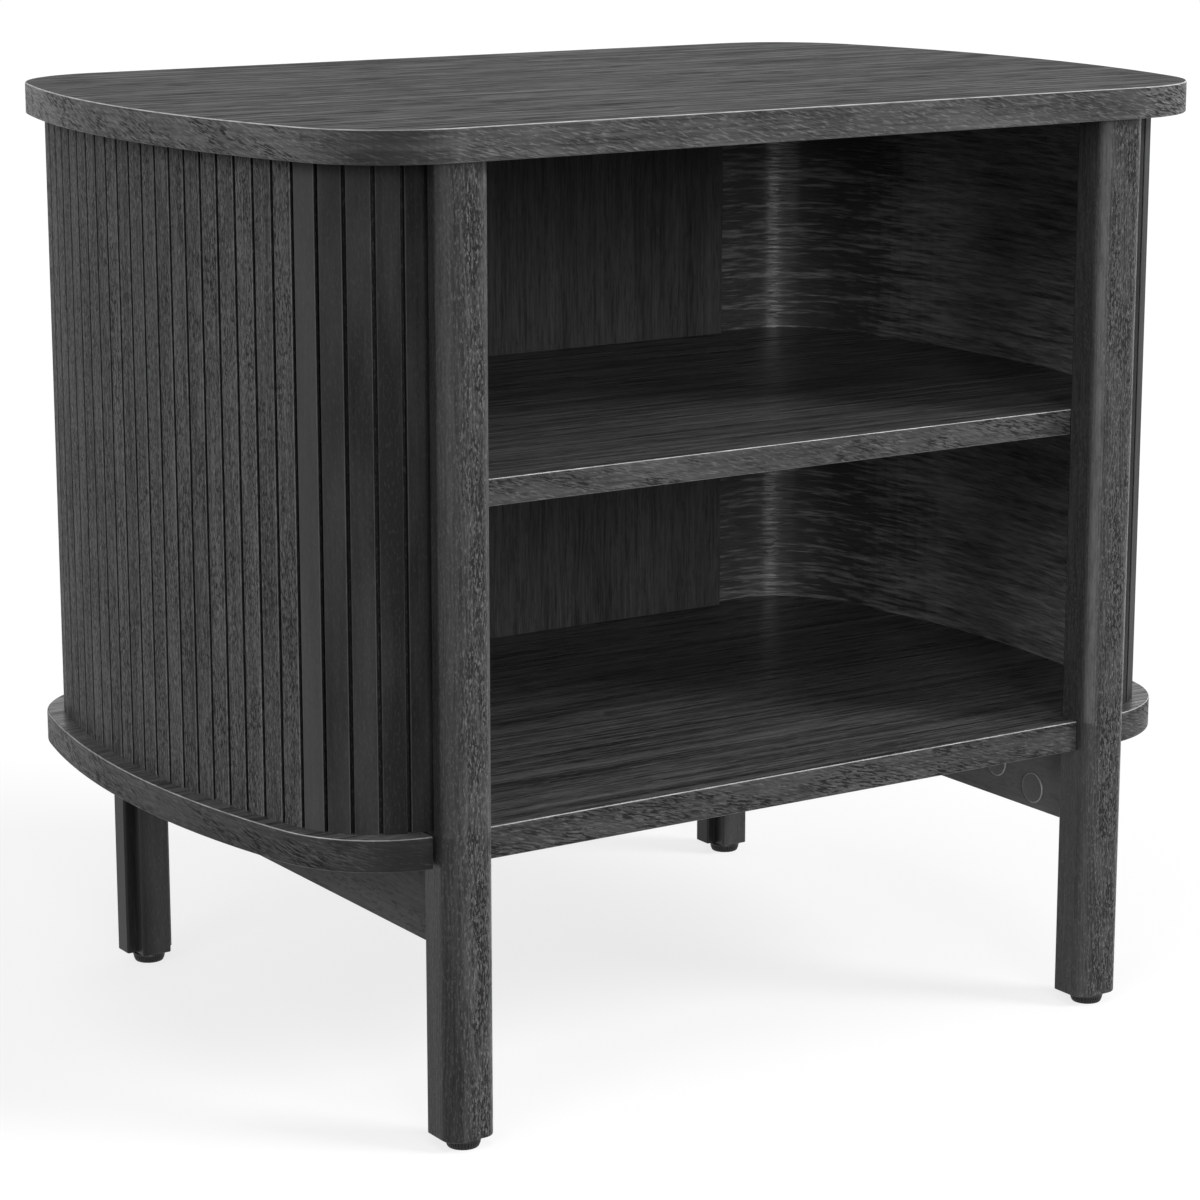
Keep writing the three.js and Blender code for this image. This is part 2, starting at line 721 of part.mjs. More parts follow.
// Each foot is a pad with a socket open to the top, a stud whose head turns in that socket,
// and a threaded nut let into the leg
function makeFeet() {
  const collarTop = FOOT_HEIGHT - REST_GAP;
  const ribTop = collarTop - PAD_COLLAR_HEIGHT;
  const socketFloor = PAD_SOLE_HEIGHT + REST_GAP;
  const headTop = socketFloor + REST_GAP + STUD_HEAD_HEIGHT;
  for (const { name, sign } of sides) {
    for (const atFront of [true, false]) {
      const end = atFront ? 'front' : 'rear';
      const axis = footAxis(sign, atFront);
      const rim = new THREE.ExtrudeGeometry(ribbedShape(), {
        depth: ribTop - PAD_SOLE_HEIGHT, bevelEnabled: false,
      });
      rim.translate(axis.x, axis.y, PAD_SOLE_HEIGHT);
      const core = [
        [0, 0],
        [PAD_SOLE_RADIUS - PAD_RIB_DEPTH, 0],
        [PAD_SOLE_RADIUS, PAD_SOLE_HEIGHT],
        [PAD_COLLAR_RADIUS, ribTop],
        [PAD_COLLAR_RADIUS, collarTop],
        [0, collarTop],
      ];
      const socket = rod(
        STUD_HEAD_RADIUS + REST_GAP,
        axis.clone().setZ(socketFloor),
        UP,
        FOOT_HEIGHT,
      );
      const pad = toSolid(rim).add(turned(core, axis, UP)).subtract(socket);
      const studProfile = [
        [0, 0],
        [STUD_HEAD_RADIUS, 0],
        [STUD_HEAD_RADIUS, STUD_HEAD_HEIGHT],
        [STUD_RADIUS, STUD_HEAD_HEIGHT],
        [STUD_RADIUS, STUD_HEAD_HEIGHT + STUD_LENGTH - STUD_RADIUS / 2],
        [STUD_RADIUS / 2, STUD_HEAD_HEIGHT + STUD_LENGTH],
        [0, STUD_HEAD_HEIGHT + STUD_LENGTH],
      ];
      const studFoot = axis.clone().setZ(headTop - STUD_HEAD_HEIGHT);
      const nutFoot = axis.clone().setZ(FOOT_HEIGHT);
      const bore = rod(STUD_RADIUS + REST_GAP, nutFoot.clone().addScaledVector(DOWN, CUT_MARGIN),
        UP, NUT_LENGTH + 2 * CUT_MARGIN);
      addPiece(`${end}_${name}_foot_pad`, pad, blackPlastic);
      addPiece(`${end}_${name}_foot_stud`, turned(studProfile, studFoot, UP), zincSteel);
      addPiece(`${end}_${name}_insert_nut`, rod(NUT_RADIUS, nutFoot, UP, NUT_LENGTH).subtract(bore),
        zincSteel);
    }
  }
}

makeTopBoard();
makeBaseBoard();
makeShelf();
makeBackPanel();
makeWalls();
makeFrontPosts();
makeRearLegs();
makeRails();
makeFittings();
makeDowels();
makeFeet();

export default nightstand;
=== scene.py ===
# Looks of the open-shelf nightstand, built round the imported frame.
# Plan sizes are in millimetres, as in the part's source. Meshes are in metres.
import math
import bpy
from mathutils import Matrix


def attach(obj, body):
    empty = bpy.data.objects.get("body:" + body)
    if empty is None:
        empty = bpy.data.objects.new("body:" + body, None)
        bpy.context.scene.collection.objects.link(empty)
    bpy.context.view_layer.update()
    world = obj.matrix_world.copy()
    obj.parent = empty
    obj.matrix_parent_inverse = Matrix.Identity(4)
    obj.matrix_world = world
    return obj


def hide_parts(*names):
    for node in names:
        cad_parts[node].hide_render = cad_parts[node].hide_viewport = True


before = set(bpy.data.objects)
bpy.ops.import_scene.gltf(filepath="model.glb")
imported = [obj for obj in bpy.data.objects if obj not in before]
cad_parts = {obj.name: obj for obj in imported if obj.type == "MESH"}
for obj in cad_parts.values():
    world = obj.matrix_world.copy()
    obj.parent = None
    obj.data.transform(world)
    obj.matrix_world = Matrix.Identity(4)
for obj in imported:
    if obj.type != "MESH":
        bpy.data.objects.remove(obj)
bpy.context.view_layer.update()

from types import SimpleNamespace

import bpy
from mathutils import Vector

MM = 0.001

# Heights
FLOOR_GAP = 6
RAIL_UNDERSIDE = 105
BASE_UNDERSIDE = 150
BASE_TOP = 167
SHELF_UNDERSIDE = 328
SHELF_TOP = 342
TOP_UNDERSIDE = 503
TOP_HEIGHT = 520

# Plan
WALL_SETBACK = 9.5
WALL_START_GAP = 0.5
SHELF_GAP = 0.3
BOARD_ARRIS = 0.8
SHELF_ARRIS = 0.6
LEG_ARRIS = 0.7
LEG_INNER_X = 193.51
LEG_OUTER_X = 222.51
LEG_CENTRE_X = 208.01
RABBET_X = 217.01
RABBET_WIDTH = 5.5
RABBET_DEPTH = 10
POST_FRONT = -194.5
POST_BACK = -171.5
REAR_LEG_FRONT = 165.5
REAR_LEG_BACK = 188.5
POST_ROUND = 8
LEG_ROUND = 1.2
NOTCH_INNER_X = 193.01
NOTCH_OUTER_X = 225.01
NOTCH_BACK = -171
SHELF_FRONT = -171.2
PANEL_HALF_WIDTH = 196.01
PANEL_FRONT = 167.2
PANEL_BACK = 176.2
PANEL_ROUND = 0.5
RETURN_END_X = 170.01
SKIN_THICKNESS = 5
SHELL_OUTER_DEPTH = 5.3
SHELL_INNER_DEPTH = 9.3
SLAT_COUNT = 33
GROOVE_WIDTH = 2.2
GROOVE_DEPTH = 3.6
SLAT_ROUND = 0.45
RAIL_INNER_X = 199.51
RAIL_OUTER_X = 216.51
RAIL_UPPER_ROUND = 0.4
RAIL_LOWER_ROUND = 1.0
FRONT_FOOT_Y = -183
REAR_FOOT_Y = 177

# Cams: profile of (radius, height) pairs, and places as (end, kind, y, z)
CAM_PROFILE = [(0, -1.0), (8.2, -1.0), (8.5, -0.94), (8.75, -0.78), (8.92, -0.5), (9.0, -0.2),
               (9.0, 0.0), (7.5, 0.0), (7.5, 12.5), (0, 12.5)]
# Steps of the cam profile in the lighter material, a painted highlight on the rounded rim
CAM_HIGHLIGHT_STEPS = (1, 2, 3)
CAM_PLACES = (
    ("front", "leg", -141.5, 117.5),
    ("rear", "leg", 135.5, 117.5),
    ("front", "base", -108.5, 126.0),
    ("rear", "base", 102.5, 126.0),
)

# Feet: profiles of (radius, height) pairs
PAD_PROFILE = [(0, 0.0), (7.6, 0.0), (8.0, 0.12), (8.35, 0.5), (8.6, 1.1), (9.0, 2.2),
               (9.2, 3.3), (9.2, 3.9), (9.5, 4.0), (9.5, 5.0), (9.35, 5.35), (9.0, 5.5),
               (6.8, 5.55), (6.5, 5.7), (4.5, 5.7), (4.5, 1.5), (0, 1.5)]
RIB_COUNT = 36
RIB_LOW = 0.3
RIB_HIGH = 3.95
RIB_LEAST_RADIUS = 7
RIB_DEPTH = 0.55
RIB_FADE_HEIGHT = 1.2
RIB_STEEPNESS = 1.8
STUD_HEAD = [(0, 1.8), (4.0, 1.8), (4.2, 2.0), (4.2, 3.2), (4.0, 3.4), (2.7, 3.4)]
STUD_TIP = [(2.6, 28.6), (1.5, 29.4), (0, 29.4)]
STUD_RADIUS = 3.0
STUD_PITCH = 1.0
THREAD_LOW = 3.6
THREAD_HIGH = 28.2
THREAD_CORE_RADIUS = 2.58
THREAD_DEPTH = 0.4

# Fineness of the curves
CORNER_STEPS = 22
BOW_STEPS = 30
ARC_STEPS = (CORNER_STEPS, BOW_STEPS, CORNER_STEPS)
ROUND_STEPS = 4
SLAT_ROUND_STEPS = 2
CAM_STEPS = 56
STEPS_PER_RIB = 6
STUD_STEPS = 24
STEPS_PER_PITCH = 6
FLOOR_STEPS = 64
NEARLY_STRAIGHT = 0.02
SHARP_ANGLE = 32

# Wear and painted highlight along the steps of an arris, and its strength at the lower and the upper
# edge
ARRIS_WEAR_AND_HIGHLIGHT = (0.0, 0.8, 1.0, 0.1)
TOP_WEAR_AND_HIGHLIGHT = (0.2, 1.0)
BASE_WEAR_AND_HIGHLIGHT = (0.3, 0.7)
SHELF_WEAR_AND_HIGHLIGHT = (0.5, 1.0)
LEG_WEAR_AND_HIGHLIGHT = (0.3, 0.0)
SLAT_EDGE_WEAR_AND_HIGHLIGHT = 0.35
# Painted highlights along the rounded front corners of the posts, above and below the base board
POST_CORNER_HIGHLIGHT_INSIDE = 0.7
POST_CORNER_HIGHLIGHT_OUTSIDE = 0.15
FOOT_CORNER_HIGHLIGHT_INSIDE = 0.2

# Tones, below 0 for darker and above 0 for lighter, and looks of (tone, figure); several of them are
# painted light and shade
# Painted shade on the rims round the front left corner
RIM_DARK_X = 200
RIM_DARK_Y = 120
RIM_DARK_DIRECTION = 34
RIM_DARK_SPREAD = 42
RIM_PAINTED_SHADE = -1.0
RIM_FIGURE_LOSS = 0.85
# Painted shade on the wall lining towards the rear bend
BEND_START = 50
BEND_END = 128
BEND_PAINTED_SHADE = -0.95
# Painted shade on the plain slats next to the front post, darkest at the post
SMOOTH_SLAT_PAINTED_SHADE = (-0.43, -0.43, -0.4, -0.34, -0.1)
SMOOTH_SLAT_FIGURE = 0.1
# Painted light on the slats, lighter towards the front, with a random tone on top
SLAT_PAINTED_LIGHT_FRONT = 0.1
SLAT_PAINTED_LIGHT_FALL = 0.011
SLAT_TONE_SPREAD = 0.1
SLAT_FIGURE = 0.9
SLAT_FIGURE_SPREAD = 0.2
# Painted shade in the grooves between the slats
GROOVE_PAINTED_SHADE_LOOK = (-1.0, 0.3)
# Painted light on the faces of the posts that look inwards
POST_INNER_PAINTED_LIGHT = 0.8
# Painted shade on the posts, darker towards the floor
POST_FOOT_PAINTED_SHADE = -0.45
REAR_LEG_LOOK = (-0.5, 0.2)
RAIL_TONE = 0.5

# Places in the grain, so that no two pieces show the same wood
BOARD_GRAIN_DEPTH = 300
BOARD_GRAIN_STRETCH = 3
SHELL_GRAIN_DEPTH = 500
SHELL_GRAIN_STEP = 70
SLAT_GRAIN_STEP = 41
SKIN_GRAIN_STEP = 900
RIGHT_GRAIN_START = 700
REAR_GRAIN_STEP = 1500
RIGHT_POST_GRAIN_SHIFT = 4
RIGHT_SLAT_CHANCES = 50
CHANCE_STEP = 12.9898
CHANCE_START = 4.1
CHANCE_SCALE = 43758.5453

# Floor, light and camera, in metres and degrees
FLOOR_RADIUS = 9.0
FLOOR_COLOUR = 0.16
FLOOR_CAMERA_COLOUR = 0.3
FLOOR_CAMERA_LIFT = 0.76
AMBIENT = 0.28
SUNS = (
    # name, azimuth, elevation, strength, width
    ("key_from_the_right", 44, 33, 1.95, 20),
    ("fill_from_the_left", -62, 26, 0.45, 26),
    ("fill_from_the_front", -17, 13, 1.0, 20),
    ("top_light", -30, 74, 0.5, 30),
)
CAMERA_PLACE = (-1.110162, -1.691267, 0.680953)
CAMERA_YAW = 33.168
CAMERA_PITCH = 12.684
CAMERA_FOCUS = 3640.8
CAMERA_REACH = 100
SENSOR_WIDTH = 36.0
IMAGE_WIDTH = 1200


# Plan curves
def bowed_plan(half_width, front, back, bow_radius, corner_radius):
    middle = (front + back) / 2
    rise = (back - front) / 2 - corner_radius
    bow_x = half_width - bow_radius
    reach = bow_radius - corner_radius
    corner_x = bow_x + math.sqrt(reach ** 2 - rise ** 2)
    return SimpleNamespace(
        half_width=half_width, front=front, back=back, middle=middle, bow_radius=bow_radius,
        corner_radius=corner_radius, bow_x=bow_x, corner_x=corner_x,
        bow_angle=math.asin(rise / reach),
    )


def inset(plan, distance):
    return bowed_plan(
        plan.half_width - distance, plan.front + distance, plan.back - distance,
        plan.bow_radius - distance, plan.corner_radius - distance,
    )


TOP_PLAN = bowed_plan(half_width=300, front=-200, back=200, bow_radius=560, corner_radius=65)
BASE_PLAN = bowed_plan(half_width=299, front=-185, back=195, bow_radius=572, corner_radius=68)
WALL_PLAN = inset(BASE_PLAN, WALL_SETBACK)
SHELF_PLAN = inset(WALL_PLAN, SHELL_INNER_DEPTH + SHELF_GAP)


# A corner of an outline is (x, y, normal of the edge before it, normal of the edge after it),
# where None stands for the edge's own normal
def corner(x, y, before=None, after=None):
    return (x, y, before, after)


def arc_corners(x, y, radius, start, end, steps):
    corners = []
    for step in range(steps + 1):
        angle = start + (end - start) * step / steps
        normal = (math.cos(angle), math.sin(angle))
        corners.append(corner(x + radius * normal[0], y + radius * normal[1], normal, normal))
    return corners


def mirrored(corners):
    def flip(normal):
        return None if normal is None else (-normal[0], normal[1])
    return [corner(-x, y, flip(after), flip(before)) for x, y, before, after in reversed(corners)]


def side_arcs(plan, start_x=None):
    """The arcs of a plan's right side, from front to back, as (x, y, radius, start, end)."""
    start = -math.pi / 2
    if start_x is not None:
        start += math.asin((start_x - plan.corner_x) / plan.corner_radius)
    radius = plan.corner_radius
    return [
        (plan.corner_x, plan.front + radius, radius, start, -plan.bow_angle),
        (plan.bow_x, plan.middle, plan.bow_radius, -plan.bow_angle, plan.bow_angle),
        (plan.corner_x, plan.back - radius, radius, plan.bow_angle, math.pi / 2),
    ]


def right_half(plan, start_x=None):
    """The right side of a bowed plan, from its straight front to its straight back."""
    arcs = zip(side_arcs(plan, start_x), ARC_STEPS)
    front, bow, back = [arc_corners(*arc, steps) for arc, steps in arcs]
    return front + bow[1:-1] + back


def rounded(points):
    """Corners of a polygon given as (x, y, radius), with each corner rounded by its radius."""
    corners = []
    for index, (x, y, radius) in enumerate(points):
        if radius == 0:
            corners.append(corner(x, y))
            continue
        before = points[index - 1]
        after = points[(index + 1) % len(points)]
        arriving = Vector((x - before[0], y - before[1])).normalized()
        leaving = Vector((after[0] - x, after[1] - y)).normalized()
        turn = 1 if arriving.x * leaving.y - arriving.y * leaving.x > 0 else -1
        first = math.atan2(-turn * arriving.x, turn * arriving.y)
        last = math.atan2(-turn * leaving.x, turn * leaving.y)
        while turn * (last - first) < 0:
            last += turn * 2 * math.pi
        centre_x = x - radius * arriving.x - turn * radius * arriving.y
        centre_y = y - radius * arriving.y + turn * radius * arriving.x
        for step in range(ROUND_STEPS * 2 + 1):
            angle = first + (last - first) * step / (ROUND_STEPS * 2)
            normal = (turn * math.cos(angle), turn * math.sin(angle))
            place = (centre_x + radius * math.cos(angle), centre_y + radius * math.sin(angle))
            corners.append(corner(place[0], place[1], normal, normal))
    return corners


class Route:
    """The route of a curved wall in plan: front corner, bow, rear corner, straight return."""

    def __init__(self, plan):
        self.plan = plan
        self.arcs = side_arcs(plan, RABBET_X + WALL_START_GAP)
        self.lengths = [radius * (end - begin) for _, _, radius, begin, end in self.arcs]
        self.length = sum(self.lengths) + plan.corner_x - RETURN_END_X

    def at(self, distance, depth):
        """The place and normal at a distance along the route, at a depth below its surface."""
        rest = distance
        for (x, y, radius, begin, _), length in zip(self.arcs, self.lengths):
            if rest <= length:
                angle = begin + rest / radius
                normal = (math.cos(angle), math.sin(angle))
                return x + (radius - depth) * normal[0], y + (radius - depth) * normal[1], normal
            rest -= length
        return self.plan.corner_x - rest, self.plan.back - depth, (0.0, 1.0)

    def stops(self):
        """Distances close enough together for a smooth curve."""
        stops = []
        begin = 0
        for length, steps in zip(self.lengths, ARC_STEPS):
            stops += [begin + length * step / steps for step in range(steps)]
            begin += length
        return stops + [begin, self.length]


ROUTE = Route(WALL_PLAN)
SLAT_PITCH = ROUTE.length / SLAT_COUNT


# Mesh building
def add_object(name, data):
    added = bpy.data.objects.new(name, data)
    bpy.context.scene.collection.objects.link(added)
    return added


def edge_normal(start, end):
    along = Vector((end[0] - start[0], end[1] - start[1])).normalized()
    return (along.y, -along.x)


class Outline:
    """A closed outline, counter-clockwise, with its edges' normals and each corner's way inwards."""

    def __init__(self, corners, has_arris=lambda start, end: True):
        count = len(corners)
        self.places = [(c[0], c[1]) for c in corners]
        edges = list(zip(self.places, self.places[1:] + self.places[:1]))
        self.arris = [has_arris(*edge) for edge in edges]
        plain = [edge_normal(*edge) for edge in edges]
        self.starts = [corners[i][3] or plain[i] for i in range(count)]
        self.ends = [corners[(i + 1) % count][2] or plain[i] for i in range(count)]
        self.inwards = [self.way_inwards(i, plain) for i in range(count)]
        self.distances = [0.0]
        for edge in edges:
            self.distances.append(self.distances[-1] + math.dist(*edge))

    def way_inwards(self, i, plain):
        """How a corner moves when its edges that have an arris move in by 1."""
        before = Vector(plain[i - 1])
        after = Vector(plain[i])
        push_before = 1.0 if self.arris[i - 1] else 0.0
        push_after = 1.0 if self.arris[i] else 0.0
        cross = before.x * after.y - before.y * after.x
        if abs(cross) < NEARLY_STRAIGHT:
            return -(before + after).normalized() * max(push_before, push_after)
        x = (-push_before * after.y + push_after * before.y) / cross
        y = (-push_after * before.x + push_before * after.x) / cross
        return Vector((x, y))

    def moved_in(self, i, distance):
        x, y = self.places[i]
        return x + distance * self.inwards[i].x, y + distance * self.inwards[i].y


def on_side(corners, sign):
    """The outline of a section on the right, or of its mirror image on the left."""
    return Outline(corners if sign > 0 else mirrored(corners))


class Maker:
    """Collects faces. Each corner has a place in the grain and a tone, and each face has its
    wear and painted highlight, called arris, and its figure, which is how strongly its grain shows.
    """

    def __init__(self, place=lambda u, v, w: (u, v, w), fade=lambda height: 0.0):
        self.place = place
        self.fade = fade
        self.points = []
        self.known = {}
        self.faces = []
        self.normals = []
        self.grain = []
        self.arris = []
        self.tone = []
        self.figure = []
        self.kind = []

    def point(self, u, v, w):
        key = (round(u, 3), round(v, 3), round(w, 3))
        if key not in self.known:
            self.known[key] = len(self.points)
            self.points.append([c * MM for c in self.place(u, v, w)])
        return self.known[key]

    def face(self, points, normals, grain, arris=0.0, look=(0.0, 1.0), kind=0):
        self.faces.append(points)
        self.normals += [self.place(*normal) for normal in normals]
        self.grain += [[c * MM for c in g] for g in grain]
        self.arris.append(arris)
        self.tone += [look[0] + self.fade(self.points[p][2] / MM) for p in points]
        self.figure.append(look[1])
        self.kind.append(kind)

    def band(self, outline, low, high, wall_grain, arris=0.0, look=None, kind=0):
        """Faces between two rings of an outline. A ring is (height, inset, tilt of the normal)."""
        count = len(outline.places)
        for i in range(count):
            j = (i + 1) % count
            points = []
            normals = []
            grain = []
            start = (i, outline.starts[i], outline.distances[i])
            end = (j, outline.ends[i], outline.distances[i + 1])
            for (k, normal, distance), (height, inset_by, tilt) in (
                    (start, low), (end, low), (end, high), (start, high)):
                x, y = outline.moved_in(k, inset_by)
                lean = tilt if outline.arris[i] else 0.0
                level = math.cos(lean)
                points.append(self.point(x, y, height))
                normals.append((normal[0] * level, normal[1] * level, math.sin(lean)))
                grain.append(wall_grain(distance, x, y, height, i))
            own_look = look(i) if look else (0.0, 1.0)
            own_arris = own_look[2] if len(own_look) > 2 else 0.0
            if outline.arris[i]:
                own_arris = max(own_arris, arris)
            self.face(points, normals, grain, own_arris, own_look, kind)

    def cap(self, outline, ring, faces_up, cap_grain, kind=0):
        height, inset_by, _ = ring
        places = [outline.moved_in(i, inset_by) for i in range(len(outline.places))]
        if not faces_up:
            places.reverse()
        points = [self.point(x, y, height) for x, y in places]
        normal = (0, 0, 1 if faces_up else -1)
        grain = [cap_grain(x, y, height) for x, y in places]
        self.face(points, [normal] * len(points), grain, kind=kind)

    def build(self, name, materials, smooth=True):
        mesh = bpy.data.meshes.new(name)
        mesh.from_pydata(self.points, [], self.faces)
        mesh.attributes.new("grain", "FLOAT_VECTOR", "CORNER")
        flat = [c for g in self.grain for c in g]
        mesh.attributes["grain"].data.foreach_set("vector", flat)
        for key, domain, values in (
            ("arris", "FACE", self.arris),
            ("tone", "CORNER", self.tone),
            ("figure", "FACE", self.figure),
        ):
            mesh.attributes.new(key, "FLOAT", domain)
            mesh.attributes[key].data.foreach_set("value", values)
        for material in materials:
            mesh.materials.append(material)
        mesh.polygons.foreach_set("material_index", self.kind)
        mesh.polygons.foreach_set("use_smooth", [smooth] * len(self.faces))
        mesh.validate()
        if smooth:
            mesh.normals_split_custom_set([Vector(n).normalized() for n in self.normals])
        return add_object(name, mesh)


def arris_rings(height, size, at_top):
    """Rings of a quarter round, from the wall to the cap."""
    if size == 0:
        return [(height, 0.0, 0.0)]
    way = 1 if at_top else -1
    rings = []
    for step in range(ROUND_STEPS + 1):
        turn = math.pi / 2 * step / ROUND_STEPS
        inset_by = size * (1 - math.cos(turn))
        rings.append((height - way * size * (1 - math.sin(turn)), inset_by, way * turn))
    return rings


def prism(maker, outline, low, high, wall_grain, cap_grain, arris=(0, 0), wear_and_highlight=(1.0, 1.0),
          look=None, caps=(True, True), kinds=(0, 0)):
    """A prism between two heights.

    arris, wear_and_highlight and caps are pairs for its lower and upper edge, and kinds gives the
    materials of its walls and of its caps. The arrises get wear and a painted highlight.
    """
    lower = arris_rings(low, arris[0], False)
    upper = arris_rings(high, arris[1], True)
    for step, (outer, inner) in enumerate(zip(lower, lower[1:])):
        worn = wear_and_highlight[0] * ARRIS_WEAR_AND_HIGHLIGHT[step]
        maker.band(outline, inner, outer, wall_grain, worn, look, kinds[0])
    maker.band(outline, lower[0], upper[0], wall_grain, 0.0, look, kinds[0])
    for step, (outer, inner) in enumerate(zip(upper, upper[1:])):
        worn = wear_and_highlight[1] * ARRIS_WEAR_AND_HIGHLIGHT[step]
        maker.band(outline, outer, inner, wall_grain, worn, look, kinds[0])
    if caps[0]:
        maker.cap(outline, lower[-1], False, cap_grain, kinds[1])
    if caps[1]:
        maker.cap(outline, upper[-1], True, cap_grain, kinds[1])


def turned(name, profile, steps, materials, place, radius_at=None, edges=()):
    """A turned piece from (radius, height) pairs, which begin and end on the axis.

    edges numbers the steps of the profile that take the second material.
    """
    maker = Maker(place)
    radius_at = radius_at or (lambda radius, height, angle: radius)
    for index, ((r0, h0), (r1, h1)) in enumerate(zip(profile, profile[1:])):
        kind = 1 if index in edges else 0
        for step in range(steps):
            a = 2 * math.pi * step / steps
            b = 2 * math.pi * ((step + 1) % steps) / steps
            corners = {}
            for radius, height, angle in ((r0, h0, a), (r0, h0, b), (r1, h1, b), (r1, h1, a)):
                true_radius = radius_at(radius, height, angle)
                spot = (true_radius * math.cos(angle), true_radius * math.sin(angle), height)
                corners.setdefault(maker.point(*spot), spot)
            if len(corners) > 2:
                grain = [(z, x, y) for x, y, z in corners.values()]
                maker.face(list(corners), [(0, 0, 1)] * len(corners), grain, kind=kind)
    piece = maker.build(name, materials, smooth=False)
    piece.data.shade_smooth()
    piece.data.set_sharp_from_angle(angle=math.radians(SHARP_ANGLE))
    return piece


# Materials
CLOUD_SCALE = (9, 34, 34)
CLOUD_SPREAD = 0.25
GRAIN_SPREAD = 0.18
GRAIN_ROUGHNESS = 0.62
PATCH_SCALE = (26, 95, 95)
PATCH_RANGE = (0.42, 0.56)
GLINT_RANGE = (0.54, 0.62)
PORE_SHADE = 0.4
PORE_ROUGHNESS = 0.2
GLOSS_SPREAD = 0.14
# Patches of the wear and painted highlight along arrises, and how much of it plain faces keep
WEAR_HIGHLIGHT_PATCH_SCALE = (70, 300, 300)
WEAR_HIGHLIGHT_PATCH_RANGE = (0.3, 0.6)
WEAR_HIGHLIGHT_PATCH_LEAST = 0.4
PLAIN_FACE_WEAR_AND_HIGHLIGHT = 0.3
HEART_ACROSS = 0.004
HEART_DEPTH = -0.02
HEART_LEAN = 0.045
RING_SPACING = 0.0017
RING_WANDER = 0.014
RING_WANDER_SCALE = (6, 50, 50)
SIDE_WANDER = 0.016
SIDE_WANDER_SCALE = (9, 60, 60)
SIDE_LIGHT_RANGE = (-0.4, 0.6)
UPRIGHT_SHEEN = 0.25
SPECKLE_SCALE = 900
STUFF_PATCH_SCALE = 60
STUFF_RANGE = (0.3, 0.7)
STUFF_GLOSS_SPREAD = 0.2
STUFF_BUMP = 0.25
STUFF_RELIEF = 0.00008


def add_node(tree, kind, **settings):
    node = tree.nodes.new(kind)
    for name, value in settings.items():
        setattr(node, name, value)
    return node


def set_inputs(node, **values):
    for name, value in values.items():
        node.inputs[name.replace("_", " ")].default_value = value


def put(tree, value, socket):
    if isinstance(value, bpy.types.NodeSocket):
        tree.links.new(value, socket)
    else:
        socket.default_value = value


def maths(tree, operation, first, second, third=None, clamp=False):
    node = add_node(tree, "ShaderNodeMath", operation=operation, use_clamp=clamp)
    put(tree, first, node.inputs[0])
    put(tree, second, node.inputs[1])
    if third is not None:
        put(tree, third, node.inputs[2])
    return node.outputs[0]


def blended(tree, factor, first, second):
    node = add_node(tree, "ShaderNodeMix", data_type="RGBA")
    put(tree, factor, node.inputs[0])
    put(tree, first, node.inputs[6])
    put(tree, second, node.inputs[7])
    return node.outputs[2]


def stretched(tree, vector, scale):
    node = add_node(tree, "ShaderNodeVectorMath", operation="MULTIPLY")
    put(tree, vector, node.inputs[0])
    node.inputs[1].default_value = scale
    return node.outputs[0]


def noise(tree, vector, scale, detail=2.0, roughness=0.5, distortion=0.0):
    node = add_node(tree, "ShaderNodeTexNoise")
    put(tree, stretched(tree, vector, scale), node.inputs["Vector"])
    set_inputs(node, Scale=1.0, Detail=detail, Roughness=roughness, Distortion=distortion)
    return node.outputs[0]


def ranged(tree, value, low, high, to_low=0.0, to_high=1.0):
    node = add_node(tree, "ShaderNodeMapRange")
    put(tree, value, node.inputs[0])
    for index, number in enumerate((low, high, to_low, to_high), 1):
        node.inputs[index].default_value = number
    return node.outputs[0]


def attribute(tree, name, output):
    node = add_node(tree, "ShaderNodeAttribute", attribute_type="GEOMETRY", attribute_name=name)
    return node.outputs[output]


def grey(level):
    return (level, level, level * 1.01, 1.0)


def parts_of(tree, vector):
    split = add_node(tree, "ShaderNodeSeparateXYZ")
    put(tree, vector, split.inputs[0])
    return split.outputs


def growth_rings(tree, grain):
    """Rings round a heart line that leans, which the flat faces cut into arches and stripes."""
    along, across, deep = parts_of(tree, grain)
    lean = maths(tree, "MULTIPLY_ADD", along, HEART_LEAN, HEART_ACROSS)
    across = maths(tree, "ADD", across, lean)
    deep = maths(tree, "ADD", deep, HEART_DEPTH)
    squared = maths(tree, "MULTIPLY_ADD", across, across, maths(tree, "MULTIPLY", deep, deep))
    radius = maths(tree, "SQRT", squared, 0.0)
    wander = noise(tree, grain, RING_WANDER_SCALE, 3, 0.6)
    bent = maths(tree, "MULTIPLY_ADD", wander, RING_WANDER, radius)
    return maths(tree, "SINE", maths(tree, "MULTIPLY", bent, 2 * math.pi / RING_SPACING), 0.0)


WOOD_LOOK = {
    "roughness": 0.5, "specular": 0.2, "bump": 0.5, "tone": 0.5, "worn": 0.4,
    "cloud": 0.25, "broad": 0.35, "streak": 0.5, "fine": 0.4, "ring": 0.0,
    "broad_scale": (4, 120), "streak_scale": (12, 380), "fine_scale": (45, 700),
    "pores": 0.6, "pore_scale": (170, 680), "pore_start": 0.53, "pore_edge": 0.06,
    "clusters": 0.5, "slant": 0.0,
    "flecks": 0.0, "fleck_scale": (150, 620), "fleck_light": 1.7, "anisotropic": 0.0,
    "relief": 0.00018, "side_figure": 0.08,
    "one_sided": None, "side_light": 0.0,
}


def centred(tree, value, spread):
    return ranged(tree, value, 0.5 - spread, 0.5 + spread, -0.5, 0.5)


def tilted(tree, vector, angle):
    if angle == 0:
        return vector
    tilt = add_node(tree, "ShaderNodeMapping")
    set_inputs(tilt, Rotation=(0, 0, angle))
    put(tree, vector, tilt.inputs[0])
    return tilt.outputs[0]


